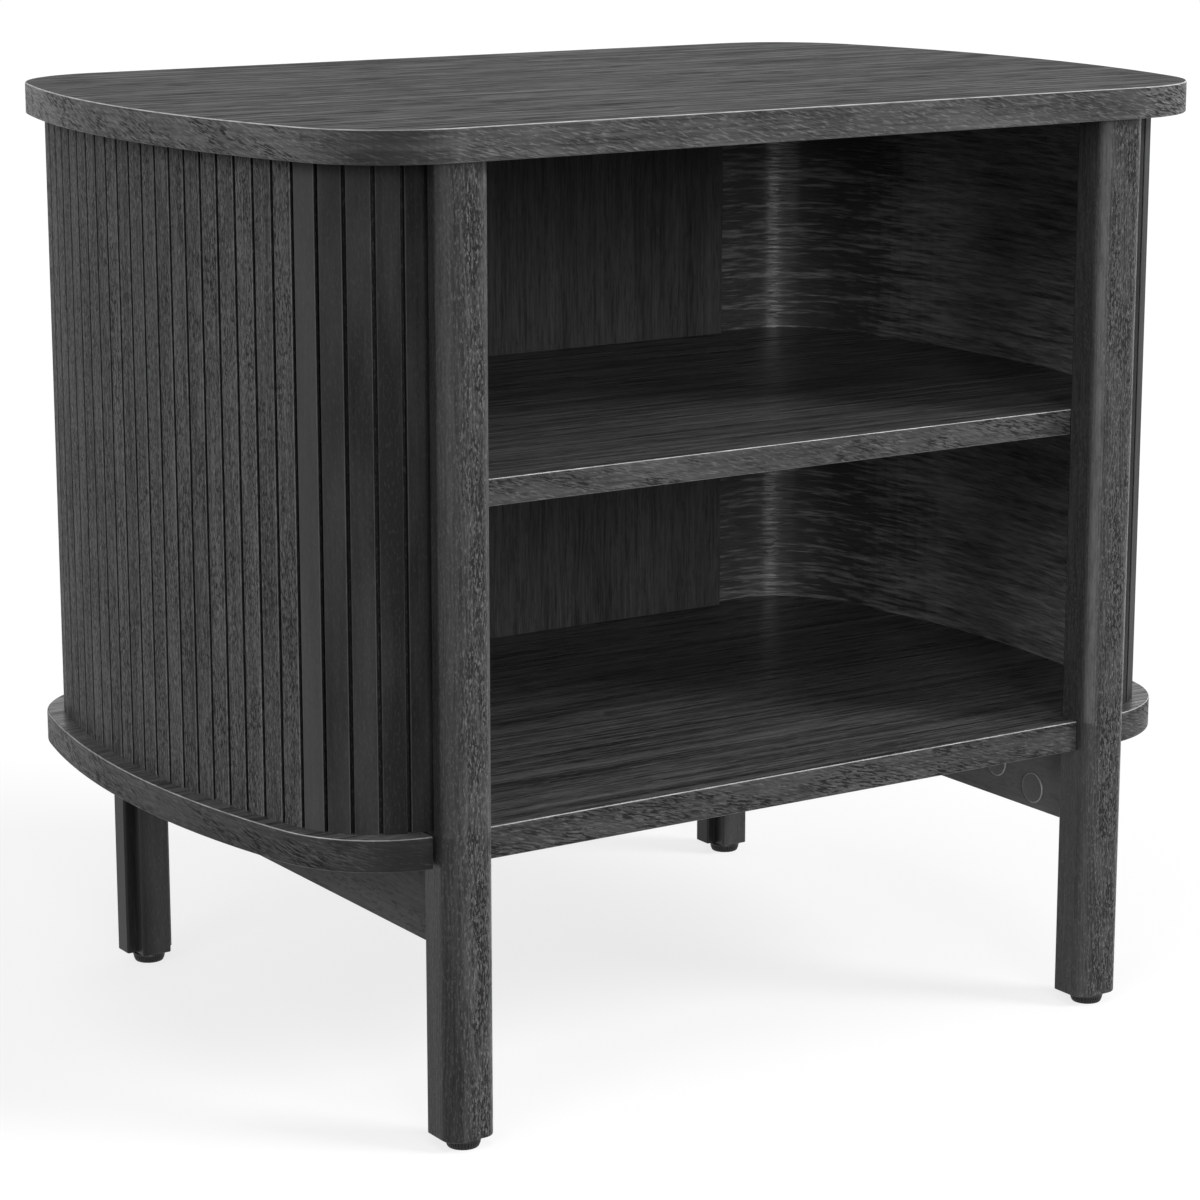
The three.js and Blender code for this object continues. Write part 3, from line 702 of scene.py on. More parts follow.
def wood_side(tree, grain, look):
    """0 on the side of a leg with plain wood, and 1 on the side with strong grain."""
    drift = noise(tree, grain, SIDE_WANDER_SCALE)
    place = maths(tree, "MULTIPLY_ADD", drift, SIDE_WANDER, parts_of(tree, grain)[1])
    return ranged(tree, place, *look.one_sided)


def wood_figure(tree, grain, look):
    """How strongly each place shows its grain, from 0 to 1."""
    figure = attribute(tree, "figure", "Fac")
    if look.one_sided:
        strength = ranged(tree, wood_side(tree, grain, look), 0.0, 1.0, look.side_figure, 1.0)
        figure = maths(tree, "MULTIPLY", figure, strength)
    return figure


def wood_pores(tree, grain, look, figure):
    """Short dark dashes along the grain, in clusters."""
    slanted = tilted(tree, grain, look.slant)
    along, across = look.pore_scale
    marks = noise(tree, slanted, (along, across, across), 2, 0.6, 0.25)
    pore = ranged(tree, marks, look.pore_start, look.pore_start + look.pore_edge)
    patches = noise(tree, slanted, PATCH_SCALE, 2, 0.55)
    cover = ranged(tree, patches, *PATCH_RANGE, 1 - look.clusters, 1.0)
    return maths(tree, "MULTIPLY", maths(tree, "MULTIPLY", pore, cover), figure)


def wood_level(tree, grain, look, figure):
    """The lightness of the wood without its pores, from 0 to 1."""
    cloud = centred(tree, noise(tree, grain, CLOUD_SCALE), CLOUD_SPREAD)
    level = maths(tree, "MULTIPLY_ADD", cloud, look.cloud, 0.5)
    parts = (
        (look.broad_scale, look.broad, 2, 0.0),
        (look.streak_scale, look.streak, 3, 0.3),
        (look.fine_scale, look.fine, 2, 0.0),
    )
    for (along, across), amount, detail, distortion in parts:
        scale = (along, across, across)
        value = noise(tree, grain, scale, detail, GRAIN_ROUGHNESS, distortion)
        part = maths(tree, "MULTIPLY", centred(tree, value, GRAIN_SPREAD), figure)
        level = maths(tree, "MULTIPLY_ADD", part, amount, level)
    if look.ring:
        part = maths(tree, "MULTIPLY", growth_rings(tree, grain), figure)
        level = maths(tree, "MULTIPLY_ADD", part, look.ring, level)
    if look.side_light:
        part = ranged(tree, wood_side(tree, grain, look), 0.0, 1.0, *SIDE_LIGHT_RANGE)
        level = maths(tree, "MULTIPLY_ADD", part, look.side_light, level)
    return maths(tree, "MULTIPLY_ADD", attribute(tree, "tone", "Fac"), look.tone, level, clamp=True)


def wood_painted_glints(tree, grain, look, figure):
    """Painted glints: short light dashes along the grain."""
    along, across = look.fleck_scale
    marks = noise(tree, tilted(tree, grain, look.slant), (along, -across, across), 3, 0.6, 0.4)
    glint = maths(tree, "MULTIPLY", ranged(tree, marks, *GLINT_RANGE), figure)
    return maths(tree, "MULTIPLY", glint, look.flecks)


def wood_wear_and_highlight(tree, grain):
    """Wear and painted highlight: how far the edges are lightened, in patches like rubbed stain,
    which is less where the grain is faint.
    """
    patches = ranged(tree, noise(tree, grain, WEAR_HIGHLIGHT_PATCH_SCALE, 3, 0.6), *WEAR_HIGHLIGHT_PATCH_RANGE, WEAR_HIGHLIGHT_PATCH_LEAST, 1.0)
    wear_and_highlight = maths(tree, "MULTIPLY", attribute(tree, "arris", "Fac"), patches)
    figure = attribute(tree, "figure", "Fac")
    kept = maths(tree, "MULTIPLY_ADD", figure, 1 - PLAIN_FACE_WEAR_AND_HIGHLIGHT, PLAIN_FACE_WEAR_AND_HIGHLIGHT)
    return maths(tree, "MULTIPLY", wear_and_highlight, kept)


def new_material(name):
    material = bpy.data.materials.new(name)
    material.use_nodes = True
    tree = material.node_tree
    return material, tree, tree.nodes["Principled BSDF"]


def add_relief(tree, shader, height, strength, distance):
    relief = add_node(tree, "ShaderNodeBump")
    set_inputs(relief, Strength=strength, Distance=distance)
    tree.links.new(height, relief.inputs["Height"])
    tree.links.new(relief.outputs[0], shader.inputs["Normal"])


def wood(name, dark, light, **changes):
    """Stained wood. Its grain runs along the first number of the grain attribute."""
    look = SimpleNamespace(**{**WOOD_LOOK, **changes})
    material, tree, shader = new_material(name)
    grain = attribute(tree, "grain", "Vector")
    figure = wood_figure(tree, grain, look)
    pore = wood_pores(tree, grain, look, figure)
    level = wood_level(tree, grain, look, figure)
    colour = blended(tree, level, grey(dark), grey(light))
    # Painted glints, lighter than the wood
    if look.flecks:
        flecks = wood_painted_glints(tree, grain, look, figure)
        colour = blended(tree, flecks, colour, grey(light * look.fleck_light))
    pores = maths(tree, "MULTIPLY", pore, look.pores)
    colour = blended(tree, pores, colour, grey(dark * PORE_SHADE))
    # Arrises blend to a lighter grey: wear and a painted highlight
    colour = blended(tree, wood_wear_and_highlight(tree, grain), colour, grey(look.worn))
    tree.links.new(colour, shader.inputs["Base Color"])
    gloss = maths(tree, "MULTIPLY_ADD", level, -GLOSS_SPREAD, look.roughness + GLOSS_SPREAD / 2)
    gloss = maths(tree, "MULTIPLY_ADD", pore, PORE_ROUGHNESS, gloss)
    tree.links.new(gloss, shader.inputs["Roughness"])
    set_inputs(shader, Specular_IOR_Level=look.specular)
    if look.anisotropic:
        along = add_node(tree, "ShaderNodeTangent", direction_type="RADIAL", axis="Z")
        tree.links.new(along.outputs[0], shader.inputs["Tangent"])
        set_inputs(shader, Anisotropic=look.anisotropic, Anisotropic_Rotation=UPRIGHT_SHEEN)
    height = maths(tree, "MULTIPLY_ADD", pore, -1.0, level)
    add_relief(tree, shader, height, look.bump, look.relief)
    return material


def plain_stuff(name, dark, light, roughness, specular, metallic=0.0, tint=(1.0, 1.0, 1.0)):
    """Plastic, metal or plain wood with fine speckles and slight clouding."""
    material, tree, shader = new_material(name)
    place = add_node(tree, "ShaderNodeTexCoord").outputs["Object"]
    speckle = noise(tree, place, (SPECKLE_SCALE,) * 3, 3, 0.6)
    patches = noise(tree, place, (STUFF_PATCH_SCALE,) * 3)
    level = maths(tree, "MULTIPLY_ADD", patches, 0.5, maths(tree, "MULTIPLY", speckle, 0.5))
    level = ranged(tree, level, *STUFF_RANGE)
    low = (dark * tint[0], dark * tint[1], dark * tint[2], 1.0)
    high = (light * tint[0], light * tint[1], light * tint[2], 1.0)
    tree.links.new(blended(tree, level, low, high), shader.inputs["Base Color"])
    gloss = maths(
        tree, "MULTIPLY_ADD", level, STUFF_GLOSS_SPREAD, roughness - STUFF_GLOSS_SPREAD / 2)
    tree.links.new(gloss, shader.inputs["Roughness"])
    set_inputs(shader, Metallic=metallic, Specular_IOR_Level=specular)
    add_relief(tree, shader, speckle, STUFF_BUMP, STUFF_RELIEF)
    return material


TOP_FACE = wood("top_face_veneer", 0.006, 0.09, roughness=0.55, specular=0.05, broad=0.6,
                streak=1.0, fine=0.5, pores=0.7, pore_scale=(22, 420), pore_edge=0.04,
                clusters=0.4, flecks=0.3, broad_scale=(2.5, 230), streak_scale=(4.5, 400),
                fine_scale=(15, 620), fleck_scale=(30, 500))
RIM_LOOK = {
    "roughness": 0.4, "specular": 0.1, "broad": 0.2, "streak": 0.3, "cloud": 0.4, "pores": 0.85,
    "pore_scale": (140, 1050), "pore_start": 0.5, "pore_edge": 0.05, "clusters": 0.75,
    "slant": 0.27, "flecks": 0.4, "fleck_scale": (130, 950), "worn": 0.75,
}
TOP_RIM = wood("top_rim_veneer", 0.028, 0.225, **RIM_LOOK)
BASE_RIM = wood("base_rim_veneer", 0.016, 0.11, **RIM_LOOK)
SHELF_RIM = wood("shelf_rim_veneer", 0.024, 0.125, **RIM_LOOK)
INSIDE_FACE = wood("board_face_veneer", 0.014, 0.14, roughness=0.32, specular=0.4, broad=0.5,
                   streak=0.9, pore_scale=(35, 480), flecks=0.2, broad_scale=(3, 200),
                   streak_scale=(6, 440))
BACK_FACE = wood("back_veneer", 0.02, 0.092, roughness=0.4, specular=0.1, broad=0.22,
                 streak=0.4, pores=0.3, pore_scale=(120, 900))
INNER_FACE = wood("inner_veneer", 0.058, 0.48, roughness=0.2, specular=0.28, broad=0.25,
                  streak=0.3, fine=0.5, pores=0.2, pore_scale=(60, 800), fine_scale=(50, 520),
                  bump=1.0, relief=0.00028, anisotropic=0.8)
SLAT_FACE = wood("slat_veneer", 0.014, 0.175, specular=0.08, broad=0.25, streak=0.4, pores=0.8,
                 pore_scale=(330, 1150), pore_start=0.5, pore_edge=0.05, clusters=0.4,
                 flecks=0.4, fleck_scale=(300, 1050), tone=1.0, worn=0.3)
POST_FACE = wood("post_wood", 0.008, 0.084, roughness=0.28, specular=0.22, broad=0.35, streak=0.6,
                 fine=0.6, pores=0.95, pore_scale=(350, 1150), pore_start=0.48, pore_edge=0.04,
                 ring=0.3, flecks=0.8, fleck_scale=(330, 1100), fleck_light=2.0,
                 one_sided=(-0.002, 0.008), side_figure=0.3, side_light=0.5, worn=0.19)
RAIL_FACE = wood("rail_wood", 0.07, 0.235, specular=0.12, broad=0.1, streak=0.12, fine=0.12,
                 pores=0.12, worn=0.2)
CAM_CAP = plain_stuff("cam_cap", 0.115, 0.145, roughness=0.3, specular=0.2)
# A lighter, glossier grey on the cap's rounded rim: a painted highlight
CAM_RIM_HIGHLIGHT = plain_stuff("cam_rim_highlight", 0.3, 0.4, roughness=0.25, specular=0.5)
FOOT_PLASTIC = plain_stuff("foot_plastic", 0.008, 0.016, roughness=0.42, specular=0.35)
ZINC = plain_stuff("zinc_steel", 0.5, 0.65, roughness=0.32, metallic=1.0, specular=0.5,
                   tint=(0.97, 0.98, 1.0))
BEECH = plain_stuff("dowel_beech", 0.42, 0.6, roughness=0.65, specular=0.2,
                    tint=(1.0, 0.78, 0.52))


# Pieces
def seal(piece, node, body="cabinet"):
    """A piece that stands for a node, moves with its body and has its finish."""
    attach(piece, body)
    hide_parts(node)


def board_walls(distance, x, y, height, index):
    return (distance, height, BOARD_GRAIN_DEPTH)


def board_caps(x, y, height):
    return (x, y, height * BOARD_GRAIN_STRETCH)


def upright_walls(distance, x, y, height, index):
    return (height, x, y)


def upright_caps(x, y, height):
    return (height, x, y)


def rim_shade_look(outline):
    """Painted shade round the front left corner of the rims, where they are also plainer."""
    def at(index):
        x, y = outline.places[index]
        direction = math.degrees(math.atan2(-x - RIM_DARK_X, -y - RIM_DARK_Y))
        near = max(0.0, 1.0 - abs(direction - RIM_DARK_DIRECTION) / RIM_DARK_SPREAD)
        near = near * near * (3 - 2 * near)
        return RIM_PAINTED_SHADE * near, 1.0 - RIM_FIGURE_LOSS * near
    return at


def make_board(name, node, outline, heights, materials, arris, wear_and_highlight, look=None):
    maker = Maker()
    prism(maker, outline, *heights, board_walls, board_caps, (arris, arris), wear_and_highlight, look,
          kinds=(1, 0))
    seal(maker.build(name, materials), node)


def make_top():
    half = right_half(TOP_PLAN)
    outline = Outline(half + mirrored(half))
    make_board("top_panel", "top_board", outline, (TOP_UNDERSIDE, TOP_HEIGHT),
               [TOP_FACE, TOP_RIM], BOARD_ARRIS, TOP_WEAR_AND_HIGHLIGHT, rim_shade_look(outline))


def make_base():
    half = right_half(BASE_PLAN, NOTCH_OUTER_X)
    x, y, _, after = half[0]
    right = [
        corner(NOTCH_INNER_X, BASE_PLAN.front),
        corner(NOTCH_INNER_X, NOTCH_BACK),
        corner(NOTCH_OUTER_X, NOTCH_BACK),
        corner(x, y, None, after),
    ] + half[1:]
    outline = Outline(
        right + mirrored(right), lambda start, end: max(start[1], end[1]) != NOTCH_BACK)
    make_board("base_panel", "base_board", outline, (BASE_UNDERSIDE, BASE_TOP),
               [INSIDE_FACE, BASE_RIM], BOARD_ARRIS, BASE_WEAR_AND_HIGHLIGHT, rim_shade_look(outline))


def make_shelf():
    half = right_half(SHELF_PLAN, RABBET_X)
    x, y, _, after = half[0]
    cut = PANEL_HALF_WIDTH + SHELF_GAP
    last_x, last_y, before, _ = half[-1]
    right = [corner(RABBET_X, SHELF_FRONT), corner(x, y, None, after)] + half[1:-1]
    right += [corner(last_x, last_y, before), corner(cut, SHELF_PLAN.back),
              corner(cut, PANEL_FRONT)]
    outline = Outline(
        right + mirrored(right), lambda start, end: start[1] == end[1] == SHELF_FRONT)
    make_board("shelf_panel", "middle_shelf", outline,
               (SHELF_UNDERSIDE, SHELF_TOP), [INSIDE_FACE, SHELF_RIM], SHELF_ARRIS, SHELF_WEAR_AND_HIGHLIGHT)


def make_back_panel():
    outline = Outline(rounded([
        (-PANEL_HALF_WIDTH, PANEL_FRONT, PANEL_ROUND),
        (PANEL_HALF_WIDTH, PANEL_FRONT, PANEL_ROUND),
        (PANEL_HALF_WIDTH, PANEL_BACK, 0),
        (-PANEL_HALF_WIDTH, PANEL_BACK, 0),
    ]))
    maker = Maker()
    prism(maker, outline, BASE_TOP, TOP_UNDERSIDE, upright_walls, upright_caps)
    seal(maker.build("rear_panel", [BACK_FACE]), "back_panel")


def wall_side(depth):
    """The corners of one face of the wall, from front to back along the route."""
    corners = []
    stops = ROUTE.stops()
    for stop in stops:
        x, y, normal = ROUTE.at(stop, depth)
        before = None if stop == stops[0] else normal
        after = None if stop == stops[-1] else normal
        corners.append(corner(x, y, before, after))
    return corners


def inner_side(depth):
    """The corners of the face that looks into the cabinet, from back to front."""
    corners = []
    for x, y, before, after in reversed(wall_side(depth)):
        corners.append(corner(
            x, y, after and (-after[0], -after[1]), before and (-before[0], -before[1])))
    return corners


def make_shell(side, sign):
    corners = wall_side(SHELL_OUTER_DEPTH) + inner_side(SHELL_INNER_DEPTH)
    outline = on_side(corners, sign)
    depth = SHELL_GRAIN_DEPTH + SHELL_GRAIN_STEP * sign

    def shell_shade_look(index):
        """Painted shade, darker towards the rear bend."""
        y = max(outline.places[index][1], outline.places[(index + 1) % len(corners)][1])
        bent = (y - BEND_START) / (BEND_END - BEND_START)
        return BEND_PAINTED_SHADE * max(0.0, min(1.0, bent)), 1.0

    maker = Maker()
    prism(maker, outline, BASE_TOP, TOP_UNDERSIDE,
          lambda distance, x, y, height, index: (distance, height, depth),
          lambda x, y, height: (y, x, height), look=shell_shade_look)
    seal(maker.build(f"{side}_wall_lining", [INNER_FACE]), f"{side}_side_shell")


def chance_of(slat):
    """A number for each slat that looks random, between -0.5 and 0.5."""
    value = math.sin(slat * CHANCE_STEP + CHANCE_START) * CHANCE_SCALE
    return value - math.floor(value) - 0.5


def slat_corners():
    """The corners of the slats' outer side, and the slat and part that each edge belongs to."""
    corners = []
    owners = []
    for slat in range(SLAT_COUNT):
        first = slat == 0
        last = slat == SLAT_COUNT - 1
        start = slat * SLAT_PITCH + (0 if first else GROOVE_WIDTH / 2)
        end = (slat + 1) * SLAT_PITCH - (0 if last else GROOVE_WIDTH / 2)
        left = Vector(ROUTE.at(start, 0)[:2])
        right = Vector(ROUTE.at(end, 0)[:2])
        along = (right - left).normalized()
        out = Vector((along.y, -along.x))
        if not first:
            x, y, _ = ROUTE.at(start, GROOVE_DEPTH)
            corners.append(corner(x, y))
            owners.append((slat, "side"))
        rounds = (
            (left + along * SLAT_ROUND, math.pi),
            (right - along * SLAT_ROUND, math.pi / 2),
        )
        for centre, begin in rounds:
            for step in range(SLAT_ROUND_STEPS + 1):
                angle = begin - step * math.pi / 2 / SLAT_ROUND_STEPS
                way = along * math.cos(angle) + out * math.sin(angle)
                place = centre - out * SLAT_ROUND + way * SLAT_ROUND
                corners.append(corner(place.x, place.y, (way.x, way.y), (way.x, way.y)))
                owners.append((slat, "round" if step < SLAT_ROUND_STEPS else "face"))
        owners[-1] = (slat, "side")
        if not last:
            x, y, _ = ROUTE.at(end, GROOVE_DEPTH)
            corners.append(corner(x, y))
            owners.append((slat, "floor"))
    return corners, owners


def make_skin(side, sign):
    corners, owners = slat_corners()
    inner = inner_side(SKIN_THICKNESS)
    owners += [(-1, "floor")] * len(inner)
    corners += inner
    if sign < 0:
        corners = mirrored(corners)
        owners = owners[-2::-1] + owners[-1:]
    outline = Outline(corners)

    def skin_grain(distance, x, y, height, index):
        slat, _ = owners[index]
        return (height, distance, SLAT_GRAIN_STEP * slat + SKIN_GRAIN_STEP * (sign > 0))

    def skin_look(index):
        slat, part = owners[index]
        # Grooves get painted shade
        if part != "round" and part != "face":
            return GROOVE_PAINTED_SHADE_LOOK
        # The slats next to the post are plainer and have painted shade
        if slat < len(SMOOTH_SLAT_PAINTED_SHADE):
            look = (SMOOTH_SLAT_PAINTED_SHADE[slat], SMOOTH_SLAT_FIGURE)
        else:
            chance = chance_of(slat + (RIGHT_SLAT_CHANCES if sign > 0 else 0))
            # Painted light that falls off towards the back, and a random tone
            fall = SLAT_PAINTED_LIGHT_FALL * (slat - len(SMOOTH_SLAT_PAINTED_SHADE))
            tone = SLAT_PAINTED_LIGHT_FRONT - fall + SLAT_TONE_SPREAD * chance
            look = (tone, SLAT_FIGURE + SLAT_FIGURE_SPREAD * chance)
        # The slats' rounded edges get wear and a painted highlight
        return look + (SLAT_EDGE_WEAR_AND_HIGHLIGHT,) if part == "round" else look

    maker = Maker()
    prism(maker, outline, BASE_TOP, TOP_UNDERSIDE, skin_grain, upright_caps, look=skin_look)
    seal(maker.build(f"{side}_slats", [SLAT_FACE]), f"{side}_slatted_skin")


def leg_grain(sign, centre_y, seed, shift=0):
    def at(x, y, height):
        return (height + seed, x - sign * LEG_CENTRE_X + shift, y - centre_y)
    return at


def leg_walls(grain):
    return lambda distance, x, y, height, index: grain(x, y, height)


def post_painted_light(outline, sign, highlight_inside, highlight_outside):
    """Painted light on the faces that look inwards, and a painted highlight along the rounded
    corners, mottled like rubbed wear.
    """
    def at(index):
        inwards = -sign * (outline.starts[index][0] + outline.ends[index][0]) / 2
        forwards = -(outline.starts[index][1] + outline.ends[index][1]) / 2
        corner_highlight = max(0.0, 2 * abs(inwards) * forwards) ** 3
        highlight = highlight_inside if inwards > 0 else highlight_outside
        # Painted light on inward faces, and a painted highlight on the rounded corners
        return POST_INNER_PAINTED_LIGHT * max(0.0, inwards) ** 4, 1.0, highlight * corner_highlight
    return at


def post_sections():
    """A post's section up to the base board, its section above, and the ledge between them."""
    step_y = POST_BACK - RABBET_DEPTH
    front = [(LEG_INNER_X, POST_FRONT, POST_ROUND), (LEG_OUTER_X, POST_FRONT, POST_ROUND)]
    step_out = (LEG_OUTER_X, step_y, 0)
    step_in = (RABBET_X, step_y, 0)
    step_back = (RABBET_X, POST_BACK, 0)
    full_corner = (LEG_OUTER_X, POST_BACK, LEG_ROUND)
    inner_back = (LEG_INNER_X, POST_BACK, LEG_ROUND)
    full = front + [step_out, full_corner, step_back, inner_back]
    stepped = front + [step_out, step_in, step_back, inner_back]
    ledge = [step_out, full_corner, step_back, step_in]
    return rounded(full), rounded(stepped), rounded(ledge)


def make_post(side, sign, seed):
    shift = RIGHT_POST_GRAIN_SHIFT if sign > 0 else 0
    grain = leg_grain(sign, (POST_FRONT + POST_BACK) / 2, seed, shift)
    walls = leg_walls(grain)
    full, stepped, ledge = [on_side(section, sign) for section in post_sections()]
    # Painted shade, darker towards the foot of the post
    maker = Maker(fade=lambda height: POST_FOOT_PAINTED_SHADE * max(0.0, 1 - height / BASE_TOP))
    prism(maker, full, FLOOR_GAP, BASE_TOP, walls, grain, arris=(LEG_ARRIS, 0), wear_and_highlight=LEG_WEAR_AND_HIGHLIGHT,
          look=post_painted_light(full, sign, FOOT_CORNER_HIGHLIGHT_INSIDE, 0.0), caps=(True, False))
    prism(maker, stepped, BASE_TOP, TOP_UNDERSIDE, walls, grain,
          look=post_painted_light(stepped, sign, POST_CORNER_HIGHLIGHT_INSIDE, POST_CORNER_HIGHLIGHT_OUTSIDE), caps=(False, True))
    maker.cap(ledge, (BASE_TOP, 0.0, 0.0), True, grain)
    seal(maker.build(f"{side}_front_post", [POST_FACE]), f"front_{side}_leg")


def make_rear_leg(side, sign, seed):
    grain = leg_grain(sign, (REAR_LEG_FRONT + REAR_LEG_BACK) / 2, seed)
    step_y = REAR_LEG_FRONT + RABBET_DEPTH
    web_inner = LEG_INNER_X + RABBET_WIDTH
    web_outer = LEG_OUTER_X - RABBET_WIDTH
    corners = rounded([
        (web_inner, REAR_LEG_FRONT, LEG_ROUND), (web_outer, REAR_LEG_FRONT, LEG_ROUND),
        (web_outer, step_y, 0), (LEG_OUTER_X, step_y, LEG_ROUND),
        (LEG_OUTER_X, REAR_LEG_BACK, LEG_ROUND), (LEG_INNER_X, REAR_LEG_BACK, LEG_ROUND),
        (LEG_INNER_X, step_y, LEG_ROUND), (web_inner, step_y, 0),
    ])
    outline = on_side(corners, sign)
    maker = Maker()
    prism(maker, outline, FLOOR_GAP, BASE_UNDERSIDE, leg_walls(grain), grain,
          arris=(LEG_ARRIS, 0), wear_and_highlight=LEG_WEAR_AND_HIGHLIGHT, look=lambda index: REAR_LEG_LOOK)
    seal(maker.build(f"{side}_back_leg", [POST_FACE]), f"rear_{side}_leg")


def make_rail(side, sign):
    """A rail along Y. The section that it is made from lies in X and Z."""
    corners = rounded([
        (RAIL_INNER_X, -BASE_UNDERSIDE, RAIL_UPPER_ROUND),
        (RAIL_OUTER_X, -BASE_UNDERSIDE, RAIL_UPPER_ROUND),
        (RAIL_OUTER_X, -RAIL_UNDERSIDE, RAIL_LOWER_ROUND),
        (RAIL_INNER_X, -RAIL_UNDERSIDE, RAIL_LOWER_ROUND),
    ])
    outline = on_side(corners, sign)
    maker = Maker(lambda u, v, w: (u, w, -v))
    prism(maker, outline, POST_BACK, REAR_LEG_FRONT,
          lambda distance, u, v, w, index: (w, -v, u), lambda u, v, w: (w, -v, u),
          look=lambda index: (RAIL_TONE * sign, 1.0))
    seal(maker.build(f"{side}_rail", [RAIL_FACE]), f"{side}_side_rail")


def make_cams(side, sign):
    for end, kind, y, z in CAM_PLACES:
        def place(u, v, w, y=y, z=z):
            return (sign * (RAIL_INNER_X + w), y + u, z + sign * v)
        piece = turned(f"{side}_{end}_{kind}_cap", CAM_PROFILE, CAM_STEPS, [CAM_CAP, CAM_RIM_HIGHLIGHT],
                       place, edges=CAM_HIGHLIGHT_STEPS)
        seal(piece, f"{side}_{end}_{kind}_cam")


def ribbed(radius, height, angle):
    """Ribs on the lower rim, which fade out towards the sole."""
    if height > RIB_HIGH or height < RIB_LOW or radius < RIB_LEAST_RADIUS:
        return radius
    wave = math.cos(angle * RIB_COUNT)
    depth = RIB_DEPTH * min(1.0, height / RIB_FADE_HEIGHT)
    return radius - depth * (0.5 - 0.5 * max(-1.0, min(1.0, wave * RIB_STEEPNESS)))


def stud_profile():
    rise = STUD_PITCH / STEPS_PER_PITCH
    steps = int((THREAD_HIGH - THREAD_LOW) / rise)
    thread = [(STUD_RADIUS, THREAD_LOW + step * rise) for step in range(steps + 1)]
    return STUD_HEAD + thread + STUD_TIP


def threaded(radius, height, angle):
    """A thread on the part of the stud that has the stud's own radius."""
    if radius != STUD_RADIUS:
        return radius
    turn = (height / STUD_PITCH - angle / (2 * math.pi)) % 1.0
    return THREAD_CORE_RADIUS + THREAD_DEPTH * (1 - abs(2 * turn - 1))


def make_feet(side, sign):
    for end, y in (("front", FRONT_FOOT_Y), ("rear", REAR_FOOT_Y)):
        def place(u, v, w, y=y):
            return (sign * LEG_CENTRE_X + u, y + v, w)
        pad = turned(f"{end}_{side}_pad", PAD_PROFILE, RIB_COUNT * STEPS_PER_RIB, [FOOT_PLASTIC],
                     place, ribbed)
        seal(pad, f"{end}_{side}_foot_pad", f"{end}_{side}_foot")
        stud = turned(f"{end}_{side}_thread", stud_profile(), STUD_STEPS, [ZINC], place, threaded)
        seal(stud, f"{end}_{side}_foot_stud", f"{end}_{side}_screw")


def dress_hidden_nodes():
    """The nodes that keep their own shape: fittings and dowels inside the wood."""
    for name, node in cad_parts.items():
        for endings, material in ((("_bolt", "_nut"), ZINC), (("_dowel",), BEECH)):
            if name.endswith(endings):
                node.data.materials.clear()
                node.data.materials.append(material)


make_top()
make_base()
make_shelf()
make_back_panel()
for side, sign, seed in (("left", -1, 0), ("right", 1, RIGHT_GRAIN_START)):
    make_shell(side, sign)
    make_skin(side, sign)
    make_post(side, sign, seed)
    make_rear_leg(side, sign, seed + REAR_GRAIN_STEP)
    make_rail(side, sign)
    make_cams(side, sign)
    make_feet(side, sign)
dress_hidden_nodes()


# Floor, light and camera
def seen_rays(tree):
    """1 for what the camera sees, directly, in gloss or through glass."""
    path = add_node(tree, "ShaderNodeLightPath")
    direct = maths(tree, "MAXIMUM", path.outputs["Is Camera Ray"], path.outputs["Is Glossy Ray"])
    return maths(tree, "MAXIMUM", direct, path.outputs["Is Transmission Ray"])


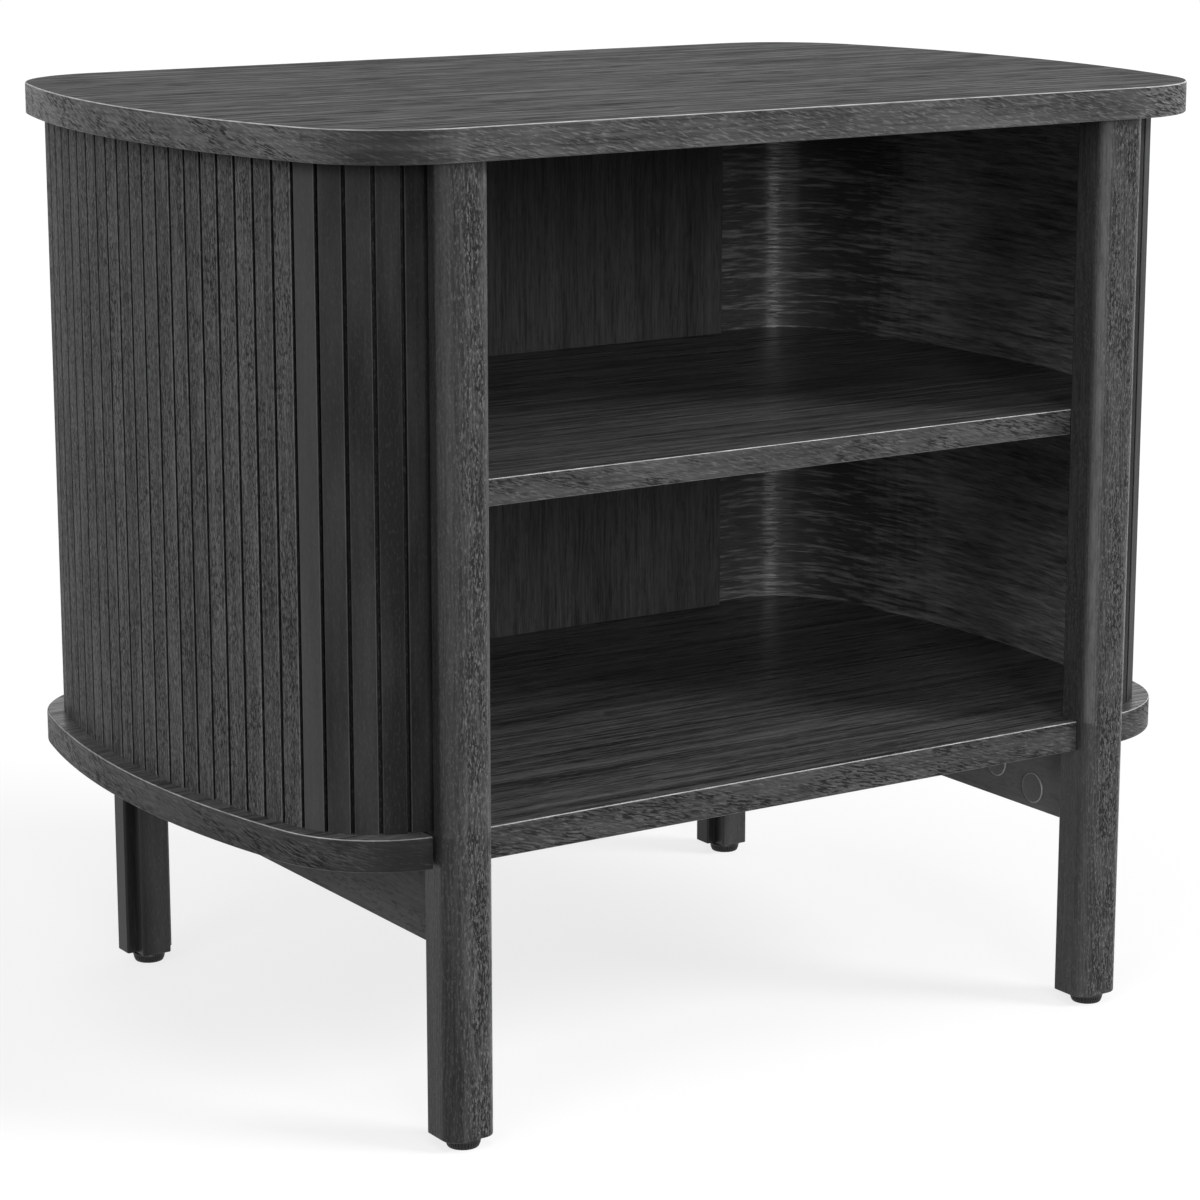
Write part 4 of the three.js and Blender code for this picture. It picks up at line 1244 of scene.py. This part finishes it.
def floor_material():
    material = bpy.data.materials.new("pale_floor")
    material.use_nodes = True
    tree = material.node_tree
    tree.nodes.clear()
    output = add_node(tree, "ShaderNodeOutputMaterial")
    diffuse = add_node(tree, "ShaderNodeBsdfDiffuse")
    seen = seen_rays(tree)
    paint = blended(tree, seen, grey(FLOOR_COLOUR), grey(FLOOR_CAMERA_COLOUR))
    tree.links.new(paint, diffuse.inputs["Color"])
    glow = add_node(tree, "ShaderNodeEmission")
    tree.links.new(maths(tree, "MULTIPLY", seen, FLOOR_CAMERA_LIFT), glow.inputs["Strength"])
    lit = add_node(tree, "ShaderNodeAddShader")
    tree.links.new(diffuse.outputs[0], lit.inputs[0])
    tree.links.new(glow.outputs[0], lit.inputs[1])
    clear = add_node(tree, "ShaderNodeBsdfTransparent")
    sided = add_node(tree, "ShaderNodeMixShader")
    tree.links.new(add_node(tree, "ShaderNodeNewGeometry").outputs["Backfacing"], sided.inputs[0])
    tree.links.new(lit.outputs[0], sided.inputs[1])
    tree.links.new(clear.outputs[0], sided.inputs[2])
    tree.links.new(sided.outputs[0], output.inputs["Surface"])
    return material


def make_floor():
    mesh = bpy.data.meshes.new("floor")
    rim = []
    for step in range(FLOOR_STEPS):
        angle = 2 * math.pi * step / FLOOR_STEPS
        rim.append((FLOOR_RADIUS * math.cos(angle), FLOOR_RADIUS * math.sin(angle), 0.0))
    mesh.from_pydata(rim, [], [list(range(FLOOR_STEPS))])
    mesh.materials.append(floor_material())
    add_object("floor", mesh)


def make_world():
    world = bpy.data.worlds.new("studio")
    world.use_nodes = True
    tree = world.node_tree
    background = tree.nodes["Background"]
    background.inputs["Color"].default_value = (1, 1, 1, 1)
    level = ranged(tree, seen_rays(tree), 0.0, 1.0, AMBIENT, 1.0)
    tree.links.new(level, background.inputs["Strength"])
    bpy.context.scene.world = world


def way_back(azimuth, elevation):
    a = math.radians(azimuth)
    e = math.radians(elevation)
    return Vector((math.sin(a) * math.cos(e), -math.cos(a) * math.cos(e), math.sin(e)))


def add_sun(name, azimuth, elevation, strength, width):
    data = bpy.data.lights.new(name, "SUN")
    data.energy = strength
    data.angle = math.radians(width)
    lamp = add_object(name, data)
    lamp.rotation_mode = "QUATERNION"
    lamp.rotation_quaternion = way_back(azimuth, elevation).to_track_quat("Z", "Y")


def make_camera():
    data = bpy.data.cameras.new("camera")
    data.sensor_width = SENSOR_WIDTH
    data.lens = CAMERA_FOCUS / IMAGE_WIDTH * SENSOR_WIDTH
    data.clip_end = CAMERA_REACH
    camera = add_object("camera", data)
    camera.location = CAMERA_PLACE
    camera.rotation_euler = (math.radians(90 - CAMERA_PITCH), 0, math.radians(-CAMERA_YAW))
    bpy.context.scene.camera = camera


make_floor()
make_world()
for sun in SUNS:
    add_sun(*sun)
make_camera()
bpy.context.scene.view_settings.view_transform = "Standard"
